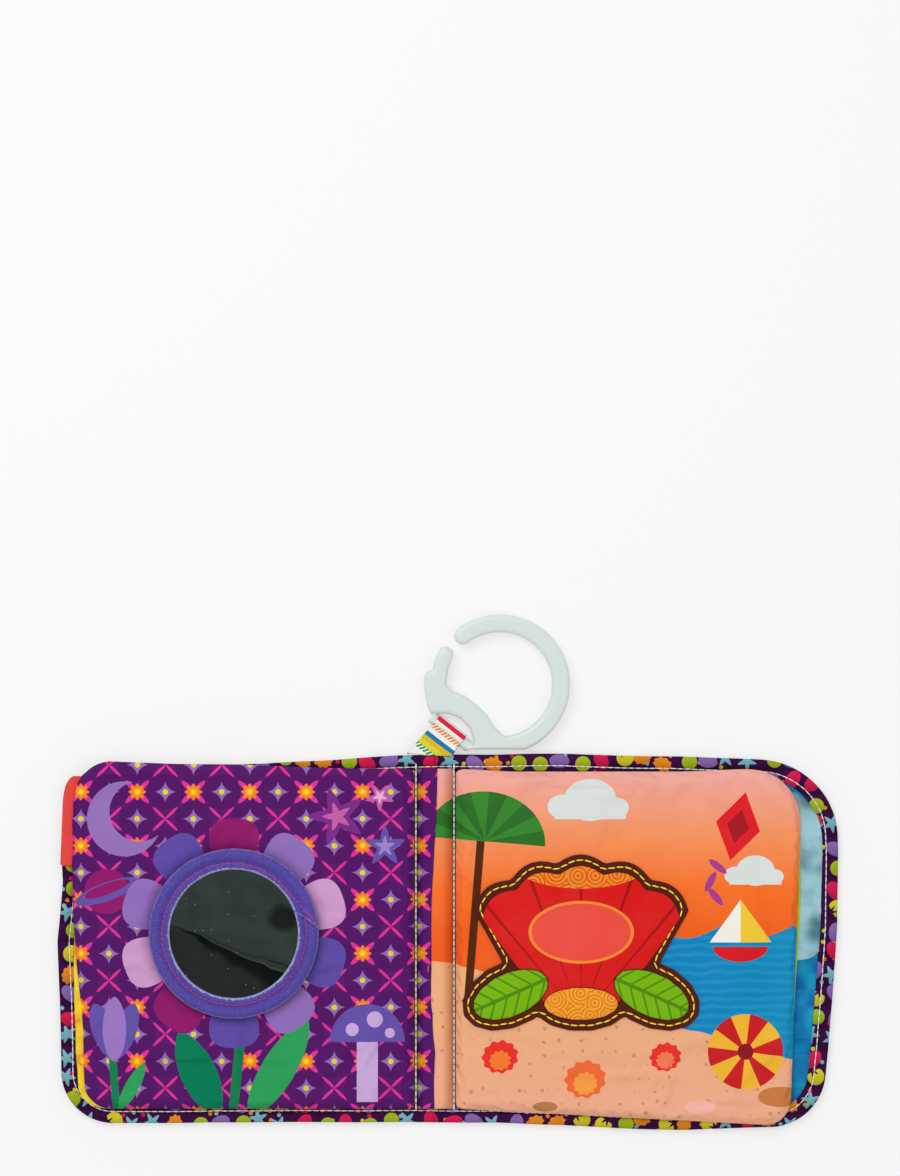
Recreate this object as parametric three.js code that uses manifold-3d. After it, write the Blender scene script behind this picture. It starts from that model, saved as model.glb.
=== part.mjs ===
// Crinkle cloth book for a baby, lying open and flat, with a link ring on a ribbon at its top edge.
// Millimetres. X points right, Y points to the link ring, Z points up.
// The origin is on the table under the middle of the spine.
import * as THREE from "three";
import { mergeVertices } from "three/addons/utils/BufferGeometryUtils.js";
import Module from "manifold-3d";

const wasm = await Module();
wasm.setup();

// Driving dimensions of the book
const spineWidth = 15.2;
const coverHalfHeight = 74;
const frontCoverWidth = 143.6;
const backCoverWidth = 156.4;
const backCoverLean = 7.6;
const coverTopRadius = 30;
const coverBottomRadius = 21;
const pageMargin = 6.8;
const pageTopMargin = 5;
const pageBottomMargin = 7;
const pageTopRadius = 12;
const pageBottomRadius = 10;
const rightPageMargin = 17;
const rightPageLean = 5;
const rightPageTopRadius = 21;
const seamCornerRadius = 2;

// Layers of the cover, from the table up
const coverClothThickness = 0.6;
const coverBattingThickness = 1.8;
const crinkleThickness = 0.2;
const liningThickness = 0.6;
const bindingWidth = 8;
const topstitchInset = 5.8;

// Layers of a page
const pageClothThickness = 0.5;
const pageEdgeThickness = 0.9;
const pageLoft = 3.7;
const pageLoftShares = [0.2, 0.58, 0.87, 1];
const pageLoftInsets = [1.5, 4, 9, 18];
const pageTurnIn = 1.8;
const pageFilmInset = 4;

// Threads, clearances and steps
const threadWidth = 0.8;
const threadHeight = 0.4;
const gap = 0.3;
const hingeGap = 0.3;
const overrun = 20;
const cornerSteps = 5;
const sideSteps = 3;

// Mirror, its ring and the tab
const mirrorX = -80.2;
const mirrorY = 3.4;
const filmTuck = 2.4;
const mirrorBackingThickness = 1;
const mirrorFilmThickness = 0.3;
const ringRadius = 34;
const ringBandWidth = 8.4;
const ringLipWidth = 3.4;
const ringHeight = 4;
const ringGroove = 1.5;
const ringLipHeight = 2.9;
const ringSteps = 36;
const tabReach = 5.5;
const tabThickness = 1;
const tabLength = 36;
const tabMargin = 3;

// Applique patch
const patchX = 58.3;
const patchY = 0.8;
const patchWidth = 94.6;
const patchHeight = 73;
const feltThickness = 1;
const patchClothThickness = 0.5;
const feltBorder = 4.6;
const stitchBorder = 2.4;
const shellRadius = 55;
const shellLobeDepth = 3;
const shellLobes = 5;
const shellSpread = 0.86;
const shellFootWidth = 30;
const shellFootHeight = 13;
const leafLength = 32;
const leafWidth = 17;

// Fleece piece on the back cover
const fleeceLength = 80.4;
const fleeceRadius = 9;
const fleeceInner = 60;

// Link ring and ribbon
const linkX = 26;
const linkStandoff = 2.6;
const linkBaseDrop = 26.1;
const linkInnerRadius = 20.8;
const linkOuterRadius = 28;
const linkThickness = 6.5;
const linkBevel = 1.6;
const barRadius = 2.3;
const barStartShares = [-0.986, -0.468];
const barEndShares = [-0.471, -0.871];
const ribbonWidth = 12.6;
const ribbonThickness = 0.6;
const ribbonClearance = 0.3;
const ribbonTailLength = 10;

const seamX = spineWidth / 2;
const pageTop = coverHalfHeight - pageTopMargin;
const pageBottomInner = coverHalfHeight - pageBottomMargin;
const pageBottomOuter = coverHalfHeight;
const mirrorWindowRadius = ringRadius - ringBandWidth;
const mirrorFilmRadius = mirrorWindowRadius + filmTuck;
const ringStitchRadius = mirrorWindowRadius + ringLipWidth;
const tabTop = pageTop - tabMargin;
const tabBottom = tabTop - tabLength;
const fleeceBottom = coverHalfHeight - fleeceLength;
const linkBaseY = coverHalfHeight + linkStandoff;
const linkY = linkBaseY + linkBaseDrop;
const coverLiningBase = coverClothThickness + coverBattingThickness + crinkleThickness;
const bindingBase = coverLiningBase + liningThickness;
const coverTop = bindingBase + coverClothThickness;
const pageBase = coverTop + gap;
const pageFrontBase = pageBase + pageClothThickness;
const seamTop = pageBase + pageEdgeThickness;

const group = new THREE.Group();

function addPiece(name, geometry, colour, roughness = 0.9, metalness = 0) {
  const material = new THREE.MeshStandardMaterial({ color: colour, roughness, metalness });
  const mesh = new THREE.Mesh(geometry, material);
  mesh.name = name;
  group.add(mesh);
  return mesh;
}

// Corners go counter-clockwise; each has x, y and a radius. Insetting moves every edge inwards.
function insetOutline(corners, inset) {
  const points = [];
  const count = corners.length;
  const edges = corners.map((corner, index) => {
    const next = corners[(index + 1) % count];
    const direction = new THREE.Vector2(next[0] - corner[0], next[1] - corner[1]).normalize();
    const normal = new THREE.Vector2(-direction.y, direction.x);
    const start = new THREE.Vector2(corner[0], corner[1]).addScaledVector(normal, inset);
    return { start, direction };
  });
  const meet = (a, b) => {
    const span = new THREE.Vector2().subVectors(b.start, a.start);
    const along = span.cross(b.direction) / a.direction.cross(b.direction);
    return a.start.clone().addScaledVector(a.direction, along);
  };
  const arcs = corners.map((corner, index) => {
    const before = edges[(index + count - 1) % count];
    const after = edges[index];
    const tip = meet(before, after);
    const turn = Math.atan2(before.direction.cross(after.direction), before.direction.dot(after.direction));
    const radius = Math.max(corner[2] - inset, threadHeight);
    const setback = radius * Math.tan(turn / 2);
    const from = tip.clone().addScaledVector(before.direction, -setback);
    const centre = from.clone().add(new THREE.Vector2(-before.direction.y, before.direction.x).multiplyScalar(radius));
    const arc = [];
    for (let step = 0; step <= cornerSteps; step += 1) {
      const angle = (turn * step) / cornerSteps;
      arc.push(from.clone().rotateAround(centre, angle));
    }
    return arc;
  });
  arcs.forEach((arc, index) => {
    points.push(...arc);
    const next = arcs[(index + 1) % count][0];
    for (let step = 1; step < sideSteps; step += 1) {
      points.push(arc[cornerSteps].clone().lerp(next, step / sideSteps));
    }
  });
  return points;
}

// Builds a closed body from rings of points. Each ring is { points, height }.
function ringBody(rings, closed = false) {
  const count = rings[0].points.length;
  const positions = [];
  const faces = [];
  rings.forEach((ring) => ring.points.forEach((point) => positions.push(point.x, point.y, ring.height)));
  const bands = closed ? rings.length : rings.length - 1;
  for (let band = 0; band < bands; band += 1) {
    const upper = band * count;
    const lower = ((band + 1) % rings.length) * count;
    for (let index = 0; index < count; index += 1) {
      const next = (index + 1) % count;
      faces.push(upper + index, lower + index, lower + next);
      faces.push(upper + index, lower + next, upper + next);
    }
  }
  if (!closed) {
    const last = (rings.length - 1) * count;
    THREE.ShapeUtils.triangulateShape(rings[0].points, []).forEach(([a, b, c]) => faces.push(a, b, c));
    THREE.ShapeUtils.triangulateShape(rings[rings.length - 1].points, [])
      .forEach(([a, b, c]) => faces.push(last + a, last + c, last + b));
  }
  const geometry = new THREE.BufferGeometry();
  geometry.setAttribute("position", new THREE.Float32BufferAttribute(positions, 3));
  geometry.setIndex(faces);
  return geometry;
}

// A profile is a list of [inset, height], from the top's middle outwards and back under.
function sweep(corners, profile, closed = false) {
  return ringBody(profile.map(([inset, height]) => ({ points: insetOutline(corners, inset), height })), closed);
}

function slab(corners, inset, base, thickness) {
  return sweep(corners, [[inset, base + thickness], [inset, base]]);
}

function toManifold(geometry) {
  const bare = geometry.clone();
  bare.deleteAttribute("normal");
  bare.deleteAttribute("uv");
  const merged = mergeVertices(bare);
  const mesh = new wasm.Mesh({
    numProp: 3,
    vertProperties: new Float32Array(merged.attributes.position.array),
    triVerts: new Uint32Array(merged.index.array),
  });
  return new wasm.Manifold(mesh);
}

function fromManifold(solid) {
  const mesh = solid.getMesh();
  const geometry = new THREE.BufferGeometry();
  geometry.setAttribute("position", new THREE.Float32BufferAttribute(mesh.vertProperties, 3));
  geometry.setIndex(Array.from(mesh.triVerts));
  return geometry;
}

function block(fromPoint, toPoint) {
  const size = toPoint.map((value, axis) => value - fromPoint[axis]);
  const middle = toPoint.map((value, axis) => (value + fromPoint[axis]) / 2);
  return new THREE.BoxGeometry(...size).translate(...middle);
}

function keepInside(geometry, fromPoint, toPoint) {
  return fromManifold(toManifold(geometry).intersect(toManifold(block(fromPoint, toPoint))));
}

// Outlines. The covers run on past the seam and are cut there, so only three sides carry the binding.
const hingeEdge = seamX + hingeGap;
const frontOuter = -(seamX + frontCoverWidth);
const backOuter = seamX + backCoverWidth;
const frontCoverCorners = [
  [frontOuter, -coverHalfHeight, coverBottomRadius],
  [overrun, -coverHalfHeight, seamCornerRadius],
  [overrun, coverHalfHeight, seamCornerRadius],
  [frontOuter, coverHalfHeight, coverBottomRadius],
];
const backCoverCorners = [
  [-overrun, -coverHalfHeight, seamCornerRadius],
  [backOuter - backCoverLean, -coverHalfHeight - gap, coverBottomRadius],
  [backOuter, coverHalfHeight, coverTopRadius],
  [-overrun, coverHalfHeight, seamCornerRadius],
];
const leftPageCorners = [
  [frontOuter + pageMargin, -pageBottomInner, pageBottomRadius],
  [-hingeEdge, -pageBottomInner, seamCornerRadius],
  [-hingeEdge, pageTop, seamCornerRadius],
  [frontOuter + pageMargin, pageTop, pageTopRadius],
];
const rightPageCorners = [
  [hingeEdge, -pageBottomInner, seamCornerRadius],
  [backOuter - rightPageMargin - rightPageLean, -pageBottomOuter, pageBottomRadius],
  [backOuter - rightPageMargin, pageTop, rightPageTopRadius],
  [hingeEdge, pageTop, seamCornerRadius],
];
const reach = 2 * (frontCoverWidth + backCoverWidth);

function cutAtSeam(geometry, side) {
  const edge = side * hingeEdge;
  const far = side * reach;
  return keepInside(
    geometry,
    [Math.min(edge, far), -reach, -reach],
    [Math.max(edge, far), reach, reach],
  );
}

// One cover panel: print cloth with its folded binding, batting, crinkle film, lining and topstitch.
function addCover(prefix, corners, side, liningColour) {
  const inner = coverClothThickness + gap;
  const print = sweep(corners, [
    [bindingWidth, coverTop],
    [coverClothThickness, coverTop],
    [0, bindingBase],
    [0, coverClothThickness],
    [coverClothThickness, 0],
    [bindingWidth, 0],
    [bindingWidth, coverClothThickness],
    [inner, coverClothThickness],
    [inner, bindingBase],
    [bindingWidth, bindingBase],
  ], true);
  const floor = slab(corners, bindingWidth - threadWidth, 0, coverClothThickness);
  const cloth = fromManifold(toManifold(print).add(toManifold(floor)));
  addPiece(`${prefix}_cover_print`, cutAtSeam(cloth, side), 0x3a0a3d);
  const fill = inner + gap;
  addPiece(
    `${prefix}_cover_batting`,
    cutAtSeam(slab(corners, fill, coverClothThickness, coverBattingThickness), side),
    0xf2efe6,
  );
  addPiece(
    `${prefix}_cover_crinkle_film`,
    cutAtSeam(slab(corners, fill, coverClothThickness + coverBattingThickness, crinkleThickness), side),
    0xdfe6ea,
    0.3,
  );
  addPiece(
    `${prefix}_cover_lining`,
    cutAtSeam(slab(corners, fill, coverLiningBase, liningThickness), side),
    liningColour,
  );
  const outerEdge = topstitchInset - threadWidth / 2;
  const innerEdge = topstitchInset + threadWidth / 2;
  const stitch = sweep(corners, [
    [innerEdge, coverTop + threadHeight / 2],
    [outerEdge, coverTop + threadHeight / 2],
    [outerEdge, coverTop],
    [innerEdge, coverTop],
  ], true);
  addPiece(`${prefix}_cover_topstitch`, cutAtSeam(stitch, side), 0xf4f1ea, 0.7);
}

addCover("front", frontCoverCorners, -1, 0xf2c81c);
addCover("back", backCoverCorners, 1, 0x0a6eb4);

// The fleece piece fills the upper outer part of the back cover inside the binding.
const fleeceArea = sweep(backCoverCorners, [
  [bindingWidth + gap, coverTop],
  [bindingWidth + gap, bindingBase],
]);
const fleeceWindow = slab([
  [fleeceInner, fleeceBottom, seamCornerRadius],
  [backOuter - bindingWidth - gap, fleeceBottom, fleeceRadius],
  [backOuter - bindingWidth - gap, reach, fleeceRadius],
  [fleeceInner, reach, seamCornerRadius],
], 0, -overrun, 2 * overrun);
addPiece(
  "fleece_piece",
  fromManifold(toManifold(fleeceArea).intersect(toManifold(fleeceWindow))),
  0x8fc4d2,
  1,
);

// The spine carries the same layers, with the binding at its top and bottom ends.
function alongX(section, halfLength, offset = 0) {
  const shape = new THREE.Shape(section.map(([y, z]) => new THREE.Vector2(y, z)));
  const geometry = new THREE.ExtrudeGeometry(shape, { depth: 2 * halfLength, bevelEnabled: false });
  const axes = new THREE.Matrix4().makeBasis(
    new THREE.Vector3(0, 1, 0),
    new THREE.Vector3(0, 0, 1),
    new THREE.Vector3(1, 0, 0),
  );
  return geometry.applyMatrix4(axes).translate(offset - halfLength, 0, 0);
}

const spineHalf = seamX - hingeGap;
const spineInner = coverHalfHeight - coverClothThickness - gap;
const rimInner = coverHalfHeight - bindingWidth;
addPiece("spine_print", alongX([
  [-coverHalfHeight, coverClothThickness],
  [-coverHalfHeight + coverClothThickness, 0],
  [coverHalfHeight - coverClothThickness, 0],
  [coverHalfHeight, coverClothThickness],
  [coverHalfHeight, bindingBase],
  [coverHalfHeight - coverClothThickness, coverTop],
  [rimInner, coverTop],
  [rimInner, bindingBase],
  [spineInner, bindingBase],
  [spineInner, coverClothThickness],
  [-spineInner, coverClothThickness],
  [-spineInner, bindingBase],
  [-rimInner, bindingBase],
  [-rimInner, coverTop],
  [-coverHalfHeight + coverClothThickness, coverTop],
  [-coverHalfHeight, bindingBase],
], spineHalf), 0x3a0a3d);
const spineFill = spineInner - gap;
const tailTop = coverClothThickness + coverBattingThickness;
const spineLayerEnd = spineFill - ribbonTailLength - gap;
addPiece("spine_batting", block(
  [-spineHalf, -spineFill, coverClothThickness],
  [spineHalf, spineLayerEnd, tailTop],
), 0xf2efe6);
addPiece("spine_lining", block(
  [-spineHalf, -spineFill, coverLiningBase],
  [spineHalf, spineFill, bindingBase],
), 0x0a6eb4);
["top", "bottom"].forEach((end) => {
  const sign = end === "top" ? 1 : -1;
  const middle = sign * (coverHalfHeight - topstitchInset);
  addPiece(`spine_${end}_topstitch`, block(
    [-spineHalf, middle - threadWidth / 2, coverTop],
    [spineHalf, middle + threadWidth / 2, coverTop + threadHeight / 2],
  ), 0xf4f1ea, 0.7);
});

// One page: back cloth, crinkle film, batting and a crowned front cloth with drawn-in sides.
function addPage(prefix, corners, frontColour, backColour) {
  addPiece(`${prefix}_page_back_cloth`, slab(corners, 0, pageBase, pageClothThickness), backColour);
  addPiece(
    `${prefix}_page_crinkle_film`,
    slab(corners, pageFilmInset, pageFrontBase, crinkleThickness),
    0xdfe6ea,
    0.3,
  );
  const crown = pageLoftInsets.map((inset, index) => [inset, seamTop + pageLoft * pageLoftShares[index]]);
  const outer = [...crown].reverse();
  outer[0][1] = seamTop + pageLoft;
  const inner = crown.slice(1).map(([inset, height]) => [inset + pageClothThickness, height - pageClothThickness]);
  const front = sweep(corners, [
    ...outer,
    [0, seamTop],
    [0, pageFrontBase],
    [pageTurnIn, pageFrontBase],
    ...inner,
  ]);
  addPiece(`${prefix}_page_front_cloth`, front, frontColour);
  const filling = inner.map(([inset, height]) => [inset + gap, height - gap]).reverse();
  const fillBase = pageFrontBase + crinkleThickness;
  const batting = sweep(corners, [...filling, [pageFilmInset, fillBase + gap], [pageFilmInset, fillBase]]);
  addPiece(`${prefix}_page_batting`, batting, 0xf2efe6);
}

addPage("left", leftPageCorners, 0x5c2069, 0xf0c41e);
addPage("right", rightPageCorners, 0xefa878, 0x3f9a3a);

// The gutter between the two seams: two cloth halves over a roll of padding.
const gutterRise = 2.6;
const gutterSteps = 6;
const gutterHalf = pageBottomInner;

function alongY(section, fromY, toY) {
  const shape = new THREE.Shape(section.map(([x, z]) => new THREE.Vector2(x, z)));
  const geometry = new THREE.ExtrudeGeometry(shape, { depth: toY - fromY, bevelEnabled: false });
  const axes = new THREE.Matrix4().makeBasis(
    new THREE.Vector3(-1, 0, 0),
    new THREE.Vector3(0, 0, 1),
    new THREE.Vector3(0, 1, 0),
  );
  return geometry.applyMatrix4(axes).translate(0, fromY, 0);
}

function gutterArc(fromX, toX, drop) {
  const arc = [];
  for (let step = 0; step <= gutterSteps; step += 1) {
    const x = fromX + ((toX - fromX) * step) / gutterSteps;
    arc.push([x, seamTop - drop + gutterRise * Math.cos((Math.PI / 2) * (x / seamX))]);
  }
  return arc;
}

const foldGap = gap / 2;
const clothDrop = pageClothThickness;
[["left", -1, 0x5c2069], ["right", 1, 0xefa878]].forEach(([name, side, colour]) => {
  const upper = gutterArc(foldGap, spineHalf, 0);
  const lower = gutterArc(foldGap, spineHalf, clothDrop).reverse();
  const section = [...upper, ...lower].map(([x, z]) => [-side * x, z]);
  addPiece(`gutter_${name}_cloth`, alongY(section, -gutterHalf, pageTop), colour);
});
const padHalf = spineHalf - pageClothThickness;
const padArc = gutterArc(-padHalf, padHalf, clothDrop + gap);
addPiece("gutter_padding", alongY(
  [[-padHalf, pageBase], ...padArc, [padHalf, pageBase]].map(([x, z]) => [-x, z]),
  -gutterHalf + pageFilmInset,
  pageTop - pageFilmInset,
), 0xf2efe6);

// The two seams through all layers lie on the fold lines.
const seamThreadHalf = hingeGap / 2;
[["left", -1], ["right", 1]].forEach(([name, side]) => {
  addPiece(`${name}_seam_thread`, block(
    [side * seamX - seamThreadHalf, -gutterHalf + threadWidth, seamTop],
    [side * seamX + seamThreadHalf, pageTop + threadWidth, seamTop + threadHeight],
  ), 0xf4f1ea, 0.7);
});

// Mirror on the left page
const trimBase = seamTop + pageLoft + gap;

function disc(radius, base, thickness) {
  return new THREE.CylinderGeometry(radius, radius, thickness, ringSteps)
    .rotateX(Math.PI / 2)
    .translate(mirrorX, mirrorY, base + thickness / 2);
}

function turned(profile) {
  return new THREE.LatheGeometry(profile.map(([r, z]) => new THREE.Vector2(r, z)), ringSteps)
    .rotateX(Math.PI / 2)
    .translate(mirrorX, mirrorY, 0);
}

const filmBase = trimBase + mirrorBackingThickness + gap;
const lipBase = filmBase + mirrorFilmThickness + gap;
const lipTop = trimBase + ringLipHeight;
const ringTop = trimBase + ringHeight;
const grooveFloor = ringTop - ringGroove;
const ringBodyInner = mirrorFilmRadius + gap;
const crest = (ringStitchRadius + ringRadius) / 2;
const lipCrest = (mirrorWindowRadius + ringStitchRadius) / 2;
addPiece("mirror_backing", disc(mirrorFilmRadius - gap, trimBase, mirrorBackingThickness), 0xe9e6dc);
addPiece("mirror_film", disc(mirrorFilmRadius, filmBase, mirrorFilmThickness), 0xc8d0cf, 0.08, 1);
addPiece("mirror_ring", turned([
  [ringBodyInner, trimBase],
  [ringRadius - threadWidth, trimBase],
  [ringRadius, trimBase + threadWidth],
  [ringRadius, (trimBase + ringTop) / 2],
  [ringRadius - threadWidth, ringTop - threadWidth],
  [crest, ringTop],
  [ringStitchRadius + threadWidth, ringTop - threadWidth],
  [ringStitchRadius, grooveFloor],
  [lipCrest, lipTop],
  [mirrorWindowRadius, (lipBase + lipTop) / 2],
  [mirrorWindowRadius, lipBase],
  [ringBodyInner, lipBase],
  [ringBodyInner, trimBase],
]), 0x5848a5);
const stitchBase = grooveFloor + gap;
addPiece("mirror_ring_stitch", turned([
  [ringStitchRadius - threadHeight / 2, stitchBase + gap],
  [ringStitchRadius + threadHeight / 2, stitchBase + gap],
  [ringStitchRadius + threadHeight / 2, stitchBase + gap + threadHeight],
  [ringStitchRadius - threadHeight / 2, stitchBase + gap + threadHeight],
  [ringStitchRadius - threadHeight / 2, stitchBase + gap],
]), 0xc8328c, 0.7);

// The tab follows the outer edge of the left page.
const tabBand = sweep(leftPageCorners, [
  [-gap, pageBase + tabThickness],
  [-tabReach, pageBase + tabThickness],
  [-tabReach, pageBase],
  [-gap, pageBase],
], true);
addPiece(
  "side_tab",
  keepInside(tabBand, [frontOuter - reach, tabBottom, -overrun], [mirrorX, tabTop, overrun]),
  0xeb5037,
);

// Applique on the right page: a fan shell with a leaf on each side.
function shapeFrom(points) {
  return new THREE.Shape(points.map(([x, y]) => new THREE.Vector2(x, y)));
}

function patch(points, base, thickness) {
  return new THREE.ExtrudeGeometry(shapeFrom(points), { depth: thickness, bevelEnabled: false })
    .translate(0, 0, base);
}

const fanSteps = 30;
const leafSteps = 14;
const fanFootY = patchY - patchHeight / 2 + feltBorder + shellFootHeight / 2;

function fanOutline(grow) {
  const points = [];
  const rootHalf = shellFootWidth / 2 + grow;
  points.push([patchX - rootHalf, fanFootY - grow]);
  points.push([patchX + rootHalf, fanFootY - grow]);
  for (let step = 0; step <= fanSteps; step += 1) {
    const along = 1 - (2 * step) / fanSteps;
    const angle = along * shellSpread;
    const lobe = Math.abs(Math.sin((Math.PI * shellLobes * (along + 1)) / 2));
    const radius = shellRadius - shellLobeDepth * (1 - lobe) + grow;
    points.push([patchX + radius * Math.sin(angle), fanFootY + radius * Math.cos(angle)]);
  }
  return points;
}

function footOutline(grow) {
  const points = [];
  for (let step = 0; step < leafSteps; step += 1) {
    const angle = (2 * Math.PI * step) / leafSteps;
    points.push([
      patchX + (shellFootWidth / 2 + grow) * Math.cos(angle),
      fanFootY + (shellFootHeight / 2 + grow) * Math.sin(angle),
    ]);
  }
  return points;
}

const leafTilt = 0.42;
const leafX = patchWidth / 2 - feltBorder - (leafLength / 2) * Math.cos(leafTilt);
const leafY = patchHeight / 2 - feltBorder - leafWidth / 2 - (leafLength / 8) * Math.sin(leafTilt);

function leafOutline(side, grow) {
  const points = [];
  const long = leafLength / 2 + grow;
  const short = leafWidth / 2 + grow;
  for (let step = 0; step < leafSteps; step += 1) {
    const angle = (2 * Math.PI * step) / leafSteps;
    const point = new THREE.Vector2(long * Math.cos(angle), short * Math.sin(angle));
    point.rotateAround(new THREE.Vector2(), -side * leafTilt);
    points.push([patchX + side * leafX + point.x, patchY - leafY + point.y]);
  }
  return points;
}

function patchUnion(grow, base, thickness) {
  return [fanOutline(grow), footOutline(grow), leafOutline(-1, grow), leafOutline(1, grow)]
    .map((points) => toManifold(patch(points, base, thickness)))
    .reduce((whole, solid) => whole.add(solid));
}

const feltTop = trimBase + feltThickness;
const patchBase = feltTop + gap;
addPiece("applique_felt", fromManifold(patchUnion(feltBorder, trimBase, feltThickness)), 0x5a1f14, 1);
const stitchOuter = patchUnion(stitchBorder + threadWidth / 2, feltTop + gap, threadHeight);
const stitchInner = patchUnion(stitchBorder - threadWidth / 2, feltTop - overrun, 2 * overrun);
addPiece("applique_border_stitch", fromManifold(stitchOuter.subtract(stitchInner)), 0xf2dc32, 0.7);
const pieceCut = [leafOutline(-1, gap), leafOutline(1, gap), footOutline(gap)]
  .map((points) => toManifold(patch(points, -overrun, 2 * overrun)))
  .reduce((whole, solid) => whole.add(solid));
addPiece(
  "applique_shell",
  fromManifold(toManifold(patch(fanOutline(0), patchBase, patchClothThickness)).subtract(pieceCut)),
  0xd9100f,
);
const footTrim = toManifold(patch(leafOutline(-1, gap), -overrun, 2 * overrun))
  .add(toManifold(patch(leafOutline(1, gap), -overrun, 2 * overrun)));
addPiece(
  "applique_foot",
  fromManifold(toManifold(patch(footOutline(0), patchBase, patchClothThickness)).subtract(footTrim)),
  0xf29a1c,
);
["left", "right"].forEach((name) => {
  const side = name === "left" ? -1 : 1;
  addPiece(`applique_${name}_leaf`, patch(leafOutline(side, 0), patchBase, patchClothThickness), 0x76b400);
});

// Link ring: a round band, a web with a half-moon eye closed by a round bar, and a post beside the gap.
const linkFlatDrop = linkY - linkBaseY;
const linkSteps = 40;
const arcEndAngle = (127.5 * Math.PI) / 180;
const innerStartAngle = (-85 * Math.PI) / 180;

function linkPoint(xShare, yShare) {
  return [linkX + xShare * linkOuterRadius, linkY + yShare * linkOuterRadius];
}

// Each pair is a share of the outer radius, from the ring's centre.
const baseShares = [[-0.45, -0.932], [-0.37, -0.85], [-0.43, -0.63], [-0.58, -0.48], [-0.74, -0.42], [-0.9, -0.42]];
const postOuterShares = [[-1, -0.405], [-1.05, -0.28], [-1.086, -0.05], [-1.086, 0.12], [-1.03, 0.2], [-0.975, 0.2],
  [-0.93, 0.36], [-0.84, 0.53], [-0.76, 0.545]];
const postInnerShares = [[-0.66, 0.47], [-0.69, 0.34], [-0.73, 0.25], [-0.765, -0.01], [-0.67, -0.105],
  [-0.515, -0.155], [-0.335, -0.29], [-0.185, -0.43], [-0.105, -0.58], [-0.06, -0.63], [0.02, -0.7]];

const ringOutline = [];
const outerStart = -(Math.PI / 2 - Math.acos(linkFlatDrop / linkOuterRadius));
for (let step = 0; step <= linkSteps; step += 1) {
  const angle = arcEndAngle + ((outerStart - arcEndAngle) * step) / linkSteps;
  ringOutline.push([linkX + linkOuterRadius * Math.cos(angle), linkY + linkOuterRadius * Math.sin(angle)]);
}
[...baseShares, ...postOuterShares, ...postInnerShares].forEach(([x, y]) => ringOutline.push(linkPoint(x, y)));
for (let step = 0; step <= linkSteps; step += 1) {
  const angle = innerStartAngle + ((arcEndAngle - innerStartAngle) * step) / linkSteps;
  ringOutline.push([linkX + linkInnerRadius * Math.cos(angle), linkY + linkInnerRadius * Math.sin(angle)]);
}
const capSteps = 6;
const capRadius = (linkOuterRadius - linkInnerRadius) / 2;
const capCentre = [
  linkX + (linkInnerRadius + capRadius) * Math.cos(arcEndAngle),
  linkY + (linkInnerRadius + capRadius) * Math.sin(arcEndAngle),
];
for (let step = 1; step < capSteps; step += 1) {
  const angle = arcEndAngle + Math.PI - (Math.PI * step) / capSteps;
  ringOutline.push([capCentre[0] + capRadius * Math.cos(angle), capCentre[1] + capRadius * Math.sin(angle)]);
}
const linkShape = shapeFrom(ringOutline);
const linkBand = new THREE.ExtrudeGeometry(linkShape, {
  depth: linkThickness - 2 * linkBevel,
  bevelThickness: linkBevel,
  bevelSize: linkBevel,
  bevelOffset: -linkBevel,
  bevelSegments: 2,
}).translate(0, 0, linkBevel);
const barStart = linkPoint(...barStartShares);
const barEnd = linkPoint(...barEndShares);
const barVector = new THREE.Vector3(barEnd[0] - barStart[0], barEnd[1] - barStart[1], 0);
const barMiddle = [(barStart[0] + barEnd[0]) / 2, (barStart[1] + barEnd[1]) / 2];
const barSides = 12;
const barAngle = Math.atan2(barVector.y, barVector.x);
const barSolid = new THREE.CylinderGeometry(barRadius, barRadius, barVector.length(), barSides)
  .rotateZ(Math.PI / 2 + barAngle)
  .translate(barMiddle[0], barMiddle[1], linkThickness / 2);
addPiece("link_ring", fromManifold(toManifold(linkBand).add(toManifold(barSolid))), 0xd9e3de, 0.35);

// The ribbon goes round the bar and down to the cover's top edge, square to the bar.
const ribbonInner = barRadius + ribbonClearance;
const ribbonOuter = ribbonInner + ribbonThickness;
const ribbonSteps = 12;
const ribbonWrap = (110 * Math.PI) / 180;
const ribbonMiddle = linkThickness / 2;
const ribbonReach = 2 * ribbonTailLength;
const tailHeight = ribbonThickness + gap / 2;
const loopOuter = [];
const loopInner = [];
for (let step = 0; step <= ribbonSteps; step += 1) {
  const angle = ribbonWrap * ((2 * step) / ribbonSteps - 1);
  loopOuter.push([ribbonOuter * Math.cos(angle), ribbonMiddle + ribbonOuter * Math.sin(angle)]);
  loopInner.push([ribbonInner * Math.cos(angle), ribbonMiddle + ribbonInner * Math.sin(angle)]);
}
const neckStart = 2 * ribbonOuter;
const neckEnd = neckStart + ribbonThickness;
const ribbonSection = [
  [-ribbonReach, ribbonMiddle - tailHeight],
  [-neckEnd, ribbonMiddle - tailHeight],
  ...loopOuter,
  [-neckEnd, ribbonMiddle + tailHeight],
  [-ribbonReach, ribbonMiddle + tailHeight],
  [-ribbonReach, ribbonMiddle + gap / 2],
  [-neckStart, ribbonMiddle + gap / 2],
  ...[...loopInner].reverse(),
  [-neckStart, ribbonMiddle - gap / 2],
  [-ribbonReach, ribbonMiddle - gap / 2],
];
const ribbonAcross = new THREE.Vector3(Math.cos(barAngle), Math.sin(barAngle), 0);
const ribbonAlong = new THREE.Vector3(-ribbonAcross.y, ribbonAcross.x, 0);
const ribbonShape = shapeFrom(ribbonSection);
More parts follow.
